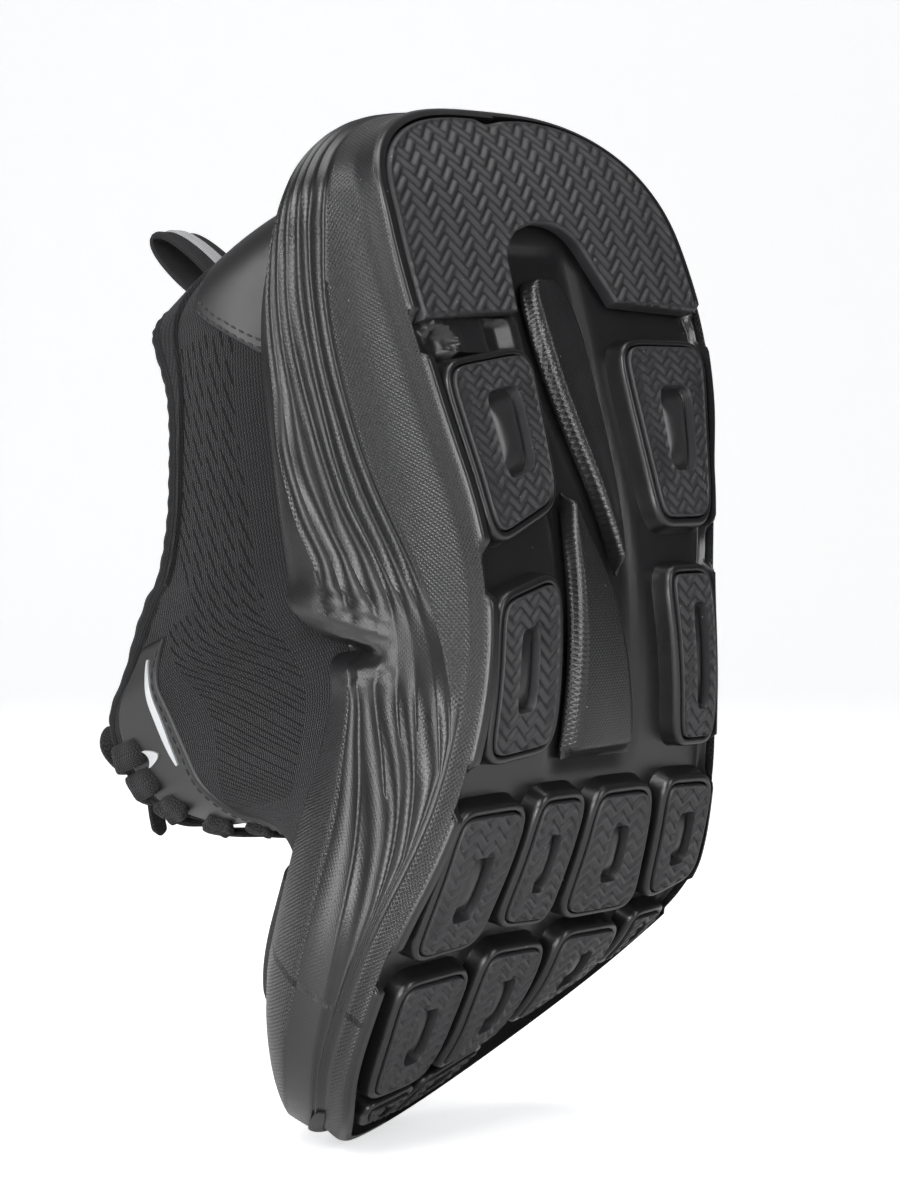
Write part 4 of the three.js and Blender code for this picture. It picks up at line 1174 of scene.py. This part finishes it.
w = np.linspace(0, 1, 150)
s = np.linspace(BEND_START, HEEL_ROUND, 66)[1:]
angle = np.linspace(np.pi / 2, 0, 44)[1:]
groups = {"vamp_medial": vamp_rows(w[::-1], 1)}
for side in (1, -1):
    c, _, b = side_ribs(s, side)
    groups["side", side] = rear_rows(c, b, collar_edge(s, side), 0.0)
    c, _, b = end_ribs(angle, side, True)
    groups["heel", side] = rear_rows(c, b, collar_edge(None, side, angle), HEEL_SET * np.cos(angle) ** 2)
knit_grid = np.concatenate([groups["vamp_medial"], groups["side", 1], groups["heel", 1],
                            groups["heel", -1][::-1][1:], groups["side", -1][::-1], vamp_rows(w, -1)])
round_heel = HEEL_ROUND * (1 - np.cos(angle))
station = np.concatenate([lerp(BEND_START, VAMP_END, w[::-1]), s, round_heel, round_heel[::-1][1:], s[::-1],
                          lerp(BEND_START, VAMP_END, w)])
for _ in range(3):  # ease the corner where collar and throat meet
    knit_grid[1:-1] = (knit_grid[:-2] + 2 * knit_grid[1:-1] + knit_grid[2:]) / 4
across_rows = np.gradient(knit_grid, axis=0)
up_columns = np.gradient(knit_grid, axis=1)
knit_normal = np.cross(across_rows, up_columns)
knit_normal /= np.maximum(np.linalg.norm(knit_normal, axis=-1, keepdims=True), 1e-9)
mid_row = len(knit_grid) // 2
knit_normal *= np.sign(knit_normal[:, 40, 1] * np.sign(knit_grid[:, 40, 1])).sum() / abs(
    np.sign(knit_normal[:, 40, 1] * np.sign(knit_grid[:, 40, 1])).sum())
for _ in range(4):
    knit_normal[1:-1] = (knit_normal[:-2] + 2 * knit_normal[1:-1] + knit_normal[2:]) / 4
    knit_normal[:, 1:-1] = (knit_normal[:, :-2] + 2 * knit_normal[:, 1:-1] + knit_normal[:, 2:]) / 4
knit_normal /= np.linalg.norm(knit_normal, axis=-1, keepdims=True)
run_around = np.concatenate([[0], np.cumsum(np.linalg.norm(np.diff(knit_grid[:, 40], axis=0), axis=1))])
run_up = np.concatenate([np.zeros((len(knit_grid), 1)),
                         np.cumsum(np.linalg.norm(np.diff(knit_grid, axis=1), axis=2), 1)], 1)
run_up -= run_up[:, 2:3]
print("upper net:", knit_grid.shape, "rows", len(station))


def on_knit(rows, columns, out):
    """A block of the upper's surface, moved out along its normal."""
    return knit_grid[rows][:, columns] + knit_normal[rows][:, columns] * np.asarray(out)[..., None]


def weave(rows, columns, strength=1.0):
    """Running distances round and up a block, in millimetres, for the weave."""
    a = np.broadcast_to(run_around[rows][:, None], (len(run_around[rows]), len(HEIGHTS[columns])))
    b = run_up[rows][:, columns]
    return np.stack([a * 1000, b * 1000, np.full(a.shape, strength)], -1)


ALL = slice(None)
# Slits: lines that sink towards the toe, steeper where the vamp turns down over the bend.
S = np.broadcast_to(station[:, None] * 1000, run_up.shape)
V = run_up * 1000
sink = 0.36 * S + 0.012 * np.clip(S - 112, 0, None) ** 2
strip_a = step(S, 34, 42) * step(-S, -124, -116) * step(V, 10, 16) * step(-(V + 0.36 * S), -80, -74)
strip_b = step(S, 104, 112) * step(-S, -190, -180) * step(V, 12, 16) * step(-V, -58, -48)
slit = np.stack([S + 0.5 * V, V + sink, np.maximum(strip_a, strip_b)], -1)
outside = on_knit(ALL, ALL, 0.0)
inside = on_knit(ALL, slice(None, None, 3), -KNIT)
sheet = skin(outside, inside)
pat = weave(ALL, ALL)
values = {"flat": [np.concatenate([outside, inside[:, ::-1]], 1).reshape(-1, 3) * 1000],
          "pat": [np.concatenate([pat, pat[:, ::3][:, ::-1]], 1).reshape(-1, 3)],
          "slit": [np.concatenate([slit, slit[:, ::3][:, ::-1] * [1, 1, 0]], 1).reshape(-1, 3)]}
upper = mesh_object("knit_upper", [net(stand(sheet), wrap_columns=True)], values, sharp=50)
place(upper, "bend", knit.material, ["quarter", "vamp_medial", "vamp_lateral"])

# %% [markdown]
# ## Panels that lie on the knit
#
# A place on the upper is given by a station, a side and a height u, 0 at the foam's rim and 1
# at the top edge. Points between the net's own come from the four round them, each weighted by
# how near it is.

# %% Places on the knit


def row_at(s, side):
    """The net's row number at a station, on one side."""
    s, rows = np.asarray(s, float), np.arange(len(station), dtype=float)
    if side > 0:
        return np.interp(-s, -station[: mid_row + 1], rows[: mid_row + 1])
    return np.interp(s, station[mid_row:], rows[mid_row:])


def vamp_row(w, side):
    """The net's row number at w along the vamp, 0 at the collar and 1 at the toe box."""
    w = np.asarray(w, float)
    return 149 * (1 - w) if side > 0 else len(station) - 150 + 149 * w


def surface(row, u, out):
    """Points of the upper's outer surface, a distance out along its normal."""
    k = 2 + 83 * np.asarray(u, float)
    row, k = np.broadcast_arrays(np.asarray(row, float), k)
    i, j = (np.clip(np.floor(v).astype(int), 0, n - 2) for v, n in zip((row, k), knit_grid.shape))
    a, b = (row - i)[..., None], (k - j)[..., None]

    def blend_of(g):
        near, far = (1 - b) * g[i, j] + b * g[i, j + 1], (1 - b) * g[i + 1, j] + b * g[i + 1, j + 1]
        return (1 - a) * near + a * far

    n = blend_of(knit_normal)
    n = n / np.linalg.norm(n, axis=-1, keepdims=True)
    return blend_of(knit_grid) + n * np.asarray(out)[..., None]


def panel(name, row, u, thick, body, material, replaced, bury=0.0004):
    """A thin sheet over the block of places (row, u), with its edges rolled down to the knit."""
    n, m = row.shape
    e = np.minimum(np.minimum(np.arange(n), n - 1 - np.arange(n))[:, None] / 2.0,
                   np.minimum(np.arange(m), m - 1 - np.arange(m))[None] / 2.0)
    rise = np.sqrt(np.clip(1 - (1 - np.clip(e, 0, 1)) ** 2, 0, 1))
    outer = surface(row, u, -bury + (thick + bury) * rise)
    inner = surface(row, u, np.full(row.shape, -bury - 0.0002))
    sheet = skin(outer, inner)
    return closed_piece(name, sheet, body, material, replaced, 60, sheet * 1000 * [1, 1, 0])


def stitches(name, row, u, out, body, every=0.0031, length=0.0021, thick=0.00034):
    """Short threads laid end to end along a line of places, each an ellipsoid half sunk."""
    points = surface(row, u, np.full(len(u), out))
    normals = (surface(row, u, np.full(len(u), 0.002)) - surface(row, u, np.full(len(u), 0.001))) * 1000
    run = np.concatenate([[0], np.cumsum(np.linalg.norm(np.diff(points, axis=0), axis=1))])
    at = np.arange(every / 2, run[-1], every)
    p = np.stack([np.interp(at, run, points[:, k]) for k in range(3)], -1)
    q = np.stack([np.interp(at + 1e-4, run, points[:, k]) for k in range(3)], -1)
    n = np.stack([np.interp(at, run, normals[:, k]) for k in range(3)], -1)
    t = (q - p) / np.maximum(np.linalg.norm(q - p, axis=1, keepdims=True), 1e-9)
    n -= t * (n * t).sum(1, keepdims=True)
    n /= np.linalg.norm(n, axis=1, keepdims=True)
    b = np.cross(t, n)
    lat = np.linspace(0, np.pi, 7)[:, None, None]
    lon = np.linspace(0, 2 * np.pi, 8, endpoint=False)[None, :, None]
    shells, values = [], []
    for k in range(len(at)):
        ring = np.cos(lon) * n[k] + np.sin(lon) * b[k]
        ball = p[k] + t[k] * (-np.cos(lat) * length / 2) + np.sin(lat) * thick * ring
        shells.append(net(stand(ball), wrap_columns=True))
        values.append(ball.reshape(-1, 3) * 1000)
    obj = mesh_object(name, shells, {"flat": values, "pat": values}, sharp=0)
    return place(obj, body, thread.material)


# %% Heel cap
u = np.linspace(0.015, 0.64, 60)
edge_line = through((0, 51), (200, 46), (450, 38), (640, 31), (870, 22))
v = np.linspace(-1, 1, 120)
cap_row = np.where(v[:, None] < 0,
                   lerp(float(mid_row), row_at(edge_line(u), 1)[None], -v[:, None]),
                   lerp(float(mid_row), row_at(edge_line(u) + 0.002, -1)[None], v[:, None]))
panel("heel_cap", cap_row, np.broadcast_to(u[None], cap_row.shape), 0.0010, "rearfoot", film.material,
      ["heel_overlay"])
for side_name, side in (("medial", 1), ("lateral", -1)):
    for k, inset in enumerate((0.0016, 0.0038)):
        u = np.linspace(0.05, 0.62, 80)
        row = row_at(edge_line(u) - inset, side)
        stitches(f"cap_stitch_{side_name}_{k + 1}", row, u, 0.00105, "rearfoot")

# %% Band below the topline
w = np.linspace(0, 1, 260)
r = lerp(row_at(0.098, 1), row_at(0.098, -1), w)
lowest = 0.955 - 0.32 * np.sin(np.pi * w) ** 4
u = lerp(lowest[:, None], 0.985, np.linspace(0, 1, 24)[None])
band_row = np.broadcast_to(r[:, None], u.shape)
panel("topline_band", band_row, u, 0.0014, "rearfoot", rolled.material, [])

# %% Film along the laces
low_edge = through((0, 830), (150, 790), (300, 720), (450, 690), (560, 685), (680, 700), (800, 740),
                   (1000, 800))
arc_line = through((150, 860), (220, 800), (300, 768), (400, 750), (530, 738))
for side_name, side in (("medial", 1), ("lateral", -1)):
    w = np.linspace(0.10, 0.985, 110)
    f = np.linspace(0, 1, 46)
    u = lerp(low_edge(w)[:, None], 0.965, f[None])
    row = np.broadcast_to(vamp_row(w, side)[:, None], u.shape)
    panel(f"eyestay_film_{side_name}", row, u, 0.0011, "bend", film.material, [f"eyestay_{side_name}"])
    w = np.linspace(0.13, 0.95, 120)
    stitches(f"eyestay_stitch_{side_name}", vamp_row(w, side), low_edge(w) + 0.022, 0.00115, "bend")

# %% [markdown]
# A plain silver strip follows the film's lower edge, with a short crescent beside its end.

# %% Silver strip
w = np.linspace(0.15, 0.53, 70)
mid = arc_line(w)[:, None]
wide = (0.030 * np.sin(np.pi * np.clip((w - 0.14) / 0.40, 0.02, 0.98)) ** 0.45)[:, None]
f = np.linspace(-0.5, 0.5, 12)
strip_block = (np.broadcast_to(vamp_row(w, 1)[:, None], (70, 12)), mid + wide * f[None])
w2 = np.linspace(0.44, 0.50, 26)
arch = (0.05 * np.sin(np.pi * (w2 - 0.436) / 0.068) ** 0.8)[:, None]
crescent_block = (np.broadcast_to(vamp_row(w2, 1)[:, None], (26, 10)),
                  0.83 + 0.04 * ((w2 - 0.47)[:, None] / 0.03) ** 2 + arch * np.linspace(-0.5, 0.5, 10)[None])
silver_shells, silver_values = [], []
for row, u in (strip_block, crescent_block):
    sheet = skin(surface(row, u, np.full(row.shape, 0.0016)), surface(row, u, np.full(row.shape, 0.0002)))
    silver_shells.append(net(stand(sheet), wrap_columns=True, caps=True))
    silver_values.append(with_ends(sheet) * 1000)
arc = mesh_object("silver_arc", silver_shells, {"flat": silver_values}, sharp=50)
place(arc, "bend", silver.material, ["reflector_medial"])

# %% [markdown]
# ## Collar: rolled edge and padding
#
# The topline is a roll of lining turned over the padding and sewn down. The padding is a soft
# pillow: full in the middle of its height and pinched where it is sewn, so its thickness over
# its height is a sine.

# %% Rolled edge


def sweep(centre, first, second, radii, n=16, power=1.0):
    """A closed tube: ellipses in the plane of two directions, with radii (rows, 2)."""
    a = np.linspace(0, 2 * np.pi, n, endpoint=False)
    x = np.sign(np.cos(a)) * np.abs(np.cos(a)) ** power
    y = np.sign(np.sin(a)) * np.abs(np.sin(a)) ** power
    ringed = centre[:, None] + first[:, None] * (radii[:, :1] * x)[..., None] + second[:, None] * (
        radii[:, 1:] * y)[..., None]
    return ringed, a


top_edge = knit_grid[:, -1]
along = np.gradient(top_edge, axis=0)
along /= np.linalg.norm(along, axis=1, keepdims=True)
face = knit_normal[:, -1]
face = face - along * (face * along).sum(1, keepdims=True)
face /= np.linalg.norm(face, axis=1, keepdims=True)
rise = np.cross(along, face)
rise *= np.sign((rise * (knit_grid[:, -1] - knit_grid[:, -8])).sum(1, keepdims=True))
on_throat = step(station, 0.106, 0.125)
radius = lerp(0.0029, 0.0017, on_throat)[:, None]
pucker = 1 + 0.05 * np.sin(run_around * 1000 * 2 * np.pi / 5.2)[:, None]
tube_centre = top_edge - face * 0.0013 + rise * (radius - 0.0006)
ringed, a = sweep(tube_centre, face, rise, np.concatenate([radius * 1.0, radius * 1.12], 1) * pucker)
roll_pat = triples(run_around[:, None] * 1000, a[None] * 2.8)
closed_piece("collar_roll", ringed, "bend", rolled.material, ["collar_binding"], 0, roll_pat)

# %% Collar padding
rows = np.arange(int(row_at(0.113, 1)), int(row_at(0.113, -1)) + 1, 2).astype(float)
u = np.linspace(0.40, 0.985, 40)
pillow = np.sin(np.pi * np.clip((u - 0.36) / 0.66, 0, 1)) ** 0.7
R, U = np.meshgrid(rows, u, indexing="ij")
quilt = 1 - 0.16 * hill((R - mid_row) % 46 - 23, 0, 3.0)
depth_in = -(KNIT + 0.0006 + 0.0049 * pillow[None] * quilt)
outer = surface(R, U, np.full(R.shape, -KNIT - 0.0004))
inner = surface(R, U, depth_in)
pat = doubled(triples(R * 1.2, U * 70))
padding = closed_piece("collar_padding", skin(outer, inner), "rearfoot", lining.material, ["collar_lining"],
                       0, pat)

# %% Heel counter
rows = np.arange(int(row_at(0.042, 1)), int(row_at(0.042, -1)) + 1, 2).astype(float)
R, U = np.meshgrid(rows, np.linspace(0.02, 0.56, 18), indexing="ij")
sheet = skin(surface(R, U, np.full(R.shape, -KNIT - 0.0004)), surface(R, U, np.full(R.shape, -KNIT - 0.0018)))
closed_piece("counter_cup", sheet, "rearfoot", plastic.material, ["heel_counter"], 60)

# %% [markdown]
# ## Tongue, laces and knot

# %% Tongue


def throat_frame(w):
    """Centre, half width, the way along and the way out of the throat at w."""
    w = np.asarray(w, float)
    p = throat(w)
    q = throat(np.clip(w + 0.01, 0, 1)) - throat(np.clip(w - 0.01, 0, 1))
    along = np.stack([q[..., 0], 0 * w, q[..., 2]], -1)
    along /= np.linalg.norm(along, axis=-1, keepdims=True)
    out = np.stack([-along[..., 2], 0 * w, along[..., 0]], -1)
    centre = np.stack([p[..., 0], np.full(w.shape, -0.001), p[..., 2]], -1)
    return centre, p[..., 1], along, out


Y = np.array([0, 1.0, 0])
w = np.linspace(0.19, 0.93, 90)
centre, half, along, out = throat_frame(w)
v = np.linspace(-1, 1, 50)
round_top = np.sqrt(np.clip((w - 0.17) / 0.06, 0, 1))[:, None]
depth = (-1.6 - 2.5 * v[None] ** 2) * MM + 0 * w[:, None]
plump = (4.3 * (1 - v[None] ** 4) ** 0.5 * (1 - 0.2 * hill((w[:, None] * 100) % 12, 6, 1.6))) * MM + 0.0004
edge_y = (v[None] * (half[:, None] - 0.004) * round_top)
top = centre[:, None] + out[:, None] * depth[..., None] + Y * edge_y[..., None]
low = centre[:, None] + out[:, None] * (depth - plump)[..., None] + Y * edge_y[..., None]
pat = doubled(triples(edge_y * 1000, w[:, None] * 120))
tongue = closed_piece("tongue_pad", skin(top, low), "bend", lining.material, ["tongue"], 0, pat)

# %% Laces


def band(line, width_way, wide, thick, n=14):
    """A flat lace along a line of points: a superellipse swept along it."""
    t = np.gradient(line, axis=0)
    t /= np.linalg.norm(t, axis=1, keepdims=True)
    width_way = width_way - t * (width_way * t).sum(1, keepdims=True)
    width_way /= np.linalg.norm(width_way, axis=1, keepdims=True)
    up = np.cross(t, width_way)
    to_end = np.minimum(np.arange(len(line)), np.arange(len(line))[::-1])
    ends = np.sqrt(np.clip(to_end / 2.5, 0.05, 1))[:, None]
    radii = np.tile([wide / 2, thick / 2], (len(line), 1)) * ends
    ringed, a = sweep(line, width_way, up, radii, n, 0.6)
    run = np.concatenate([[0], np.cumsum(np.linalg.norm(np.diff(line, axis=0), axis=1))]) * 1000
    pat = triples((np.cos(a) * wide * 500)[None], run[:, None])
    return net(stand(ringed), wrap_columns=True, caps=True), with_ends(ringed) * 1000, with_ends(pat)


def lace_line(w, w2, n=90):
    """From an eyelet on the medial film, up over the edge, across the tongue and down again."""
    points = []
    for k, (side, at_w) in enumerate(((1, w), (-1, w2))):
        r = vamp_row(at_w, side)
        side_points = [surface(r, np.array(u), np.array(o))
                       for u, o in ((0.875, -0.0004), (0.90, 0.0018), (0.95, 0.0024), (0.985, 0.0028))]
        points.append(side_points if k == 0 else side_points[::-1])
    c, half, along, out = throat_frame((w + w2) / 2)
    rises = ((0.86, 3.4), (0.45, 4.2), (0.0, 4.6), (-0.45, 4.2), (-0.86, 3.4))
    over = [c + out * d * MM + Y * v * half for v, d in rises]
    return path(np.array(points[0] + over + points[1]), n), along


for k, w in enumerate((0.44, 0.55, 0.66, 0.77, 0.87)):
    line, along = lace_line(w - 0.006, w + 0.006)
    shell, flat_values, pat_values = band(line, np.tile(along, (len(line), 1)), 0.0078, 0.0026)
    values = {"flat": [flat_values], "pat": [pat_values]}
    obj = mesh_object(f"lace_band_{k + 1}", [shell], values, sharp=0)
    place(obj, "bend", lace.material, [f"lace_{k + 1}"])

# %% [markdown]
# The laces end in a bow: a wrapped middle, two flat loops and two tails.

# %% Knot
c, half, along, out = throat_frame(0.44)
shells, flats, pats = [], [], []
turns = np.linspace(-1, 1, 40)
knot_line = c + out * 0.0112 + turns[:, None] * Y * 0.0075
radii = 0.0048 * np.sqrt(np.clip(1 - turns**2, 0.03, 1))[:, None] * (1 + 0.08 * np.cos(turns * 14))[:, None]
ringed, a = sweep(knot_line, np.tile(along, (40, 1)), np.tile(out, (40, 1)),
                  np.concatenate([radii * 1.1, radii * 0.8], 1), 18)
shells.append(net(stand(ringed), wrap_columns=True, caps=True))
flats.append(with_ends(ringed) * 1000)
pats.append(with_ends(triples(turns[:, None] * 7.5, a[None] * 4.5)))
BOW = {
    # places across the shoe, along it and out from the throat, in millimetres
    "loop": [(0, 0, 10.5), (9, -5, 10.8), (19, -9, 9.0), (23, -5, 7.6), (18, 0, 8.4), (9, 1.5, 9.6),
             (0, 1, 10.4)],
    "tail": [(0, 1, 10.6), (6, 7, 10.4), (9, 14, 8.9), (10, 21, 8.1)],
}
for side in (1, -1):
    for kind, points in BOW.items():
        line = np.array([c + Y * side * y * MM + along * a_ * MM + out * d * MM for y, a_, d in points])
        line = path(line, 60 if kind == "loop" else 34)
        t = np.gradient(line, axis=0)
        # A tail lies flat; a loop stands half on its edge.
        across, upright = (0.55, 0.5) if kind == "loop" else (1.0, 0.0)
        outward = np.tile(out, (len(line), 1))
        way = np.cross(outward, t) * across + outward * np.linalg.norm(t, axis=1, keepdims=True) * upright
        shell, flat_values, pat_values = band(line, way, 0.0052, 0.0021, 12)
        shells.append(shell)
        flats.append(flat_values)
        pats.append(pat_values)
bow = mesh_object("lace_bow", shells, {"flat": flats, "pat": pats}, sharp=0)
place(bow, "bend", lace.material, ["lace_knot"])

# %% [markdown]
# ## Pull tab
#
# A loop of ribbed webbing stands on the back of the collar, with a pale stripe woven down its
# middle. Its ribs run along it: the webbing's face is a row of small cords.

# %% Pull tab
tab_base = np.array([COLLAR_BACK - 0.0040, -0.001, collar_top(np.array(0.020)) + 0.0058])
k = np.linspace(0, 1, 90)
a = np.pi * (1.5 - 2 * k) * 0.985
x = 0.0034 * np.cos(a)
z = 0.0150 * (np.maximum(np.sin(a), -0.55) + 0.55)
loop_line = path(np.stack([x, z], -1), 90)
d = np.gradient(loop_line, axis=0)
d /= np.linalg.norm(d, axis=1, keepdims=True)


def tab_points(grow, across):
    """Points of the loop: grow is the distance out of the webbing's inner face."""
    px = loop_line[:, None, 0] - d[:, None, 1] * grow
    pz = loop_line[:, None, 1] + d[:, None, 0] * grow
    lean_way, rise_way = -0.78, 0.63
    return np.stack([tab_base[0] + px * rise_way + pz * lean_way, tab_base[1] + across + 0 * px,
                     tab_base[2] + pz * rise_way - px * lean_way], -1)


for name, wide, inset, thick, material, node, slot_name, cords in (
        ("tab_webbing", 0.015, 0.0, 0.0016, webbing.material, "pull_tab", "webbing", 15),
        ("tab_stripe", 0.0046, 0.0014, 0.0008, stripe.material, "pull_tab_stripe", "stripe", 4)):
    v = np.linspace(-0.5, 0.5, 8 * cords + 1)
    cord = 0.00022 * np.abs(np.sin(v * cords * np.pi))[None]
    edge = np.sqrt(np.clip((0.5 - np.abs(v)) / 0.03, 0, 1))[None]
    grow_out = inset + thick * (0.35 + 0.65 * edge) + cord * edge
    outer = tab_points(grow_out, v[None] * wide)
    inner = tab_points(inset + 0 * grow_out, v[None] * wide)
    pat = doubled(triples(v[None] * wide * 1000, np.linspace(0, 44, 90)[:, None]))
    closed_piece(name, skin(outer, inner), "pull_tab", material, [node], 60, pat)

# %% [markdown]
# ## Inside the shoe
#
# The lasting board closes the bottom of the upper and the insole lies on it, dished under the
# heel and raised along its edges.

# %% Insole and board


def footbed(low, high, n=150, m=60):
    """A sheet on the foam's bed, from low to high above it, with rounded edges."""
    s = np.linspace(0.036, 0.864, n) * LENGTH
    taper = np.sqrt(np.clip((0.9 * LENGTH - s) / (0.176 * LENGTH), 0, 1)) * np.sqrt(
        np.clip((s - 0.01 * LENGTH) / (0.1 * LENGTH), 0, 1))
    mid = middle(s)
    most, least = bite_medial(s) - RIM - 0.0028, bite_lateral(s) + RIM + 0.0028
    v = np.linspace(-1, 1, m)
    half = np.where(v[None] > 0, (most - mid)[:, None], (mid - least)[:, None]) * taper[:, None]
    y = mid[:, None] + v[None] * half
    sy = np.stack([np.broadcast_to(s[:, None], y.shape), y], -1)
    base = bed_height(sy[..., 0])
    rim_up = (np.abs(v[None]) ** 6) * 0.0016 * (high > 0.004)
    dish = -0.0012 * hill(sy[..., 0], 0.045, 0.03) * (1 - v[None] ** 2) * (high > 0.004)
    edge = np.sqrt(np.clip((1 - np.abs(v[None])) / 0.04, 0, 1))
    top = on_tread(sy, base + low + (high - low) * (0.25 + 0.75 * edge) + rim_up * edge + dish)
    bottom = on_tread(sy, base + low)
    return np.concatenate([top, bottom[:, ::-1]], 1)


for name, low, high, material, node, slot_name in (
        ("insole_foam", 0.0028, 0.0060, lining.material, "insole", "lining"),
        ("lasting_board", 0.0011, 0.0024, board.material, "strobel_board", "board")):
    sheet = footbed(low, high)
    pat = sheet * 1000 * [1, 1, 0]
    closed_piece(name, sheet, "bend", material, [node], 60, pat, to_row=flexed)

# %% [markdown]
# ## Toe box
#
# The knit closes over the toes as a dome. Its net is a fan of arcs from the crown down to the
# foam's rim and into the tub.

# %% Toe box
box_top = through((205, 65), (235, 63), (258, 60), (295, 54))
BOX_START = VAMP_END + 2 * GAP
s = np.linspace(BOX_START, TOE_START, 26)
a = np.linspace(np.pi / 2, 0, 60)[1:]
box_ribs = joined(side_ribs(s, -1), end_ribs(a, -1, False), end_ribs(a[::-1][1:], 1, False),
                  side_ribs(s[::-1], 1))


def dome(thick, n=60):
    """The toe box, moved in by its thickness: arcs from the crown to the rim, then into the tub."""
    c, _, b = box_ribs
    cs = np.clip(b[:, 0], BOX_START, 0.85 * LENGTH)
    centre = np.stack([cs, middle(cs)], -1)
    foot = toward(b, c, RIM + 0.001 + thick)
    lip = tread(b[:, 0], b[:, 1]) + rim_height(b[:, 0]) + 0.001
    crown = box_top(cs) + tread(centre[:, 0], centre[:, 1]) * 0.4 - thick
    q = np.linspace(0, np.pi / 2, n)
    p = centre[:, None] + (foot - centre)[:, None] * (np.sin(q) ** 0.9)[None, :, None]
    z = lip[:, None] + (crown - lip)[:, None] * np.cos(q)[None]
    over = np.concatenate([p, z[..., None]], -1)
    low = tread(foot[:, 0], foot[:, 1]) + bed_height(foot[:, 0]) + 0.008
    down = np.concatenate([foot, low[:, None]], -1)
    return np.concatenate([over, down[:, None]], 1)


outer, inner = dome(0.0), dome(KNIT)
run_a = np.concatenate([[0], np.cumsum(np.linalg.norm(np.diff(outer[:, 58], axis=0), axis=1))])
steps = np.linalg.norm(np.diff(outer, axis=1), axis=2)
run_b = np.concatenate([np.zeros((len(outer), 1)), np.cumsum(steps, 1)], 1)
pat = doubled(triples(run_a[:, None] * 1000, run_b * 1000))
closed_piece("toe_box_knit", skin(outer, inner), "forefoot", knit.material, ["toe_box"], 50,
             pat, pat * 0.0, to_row=flexed)
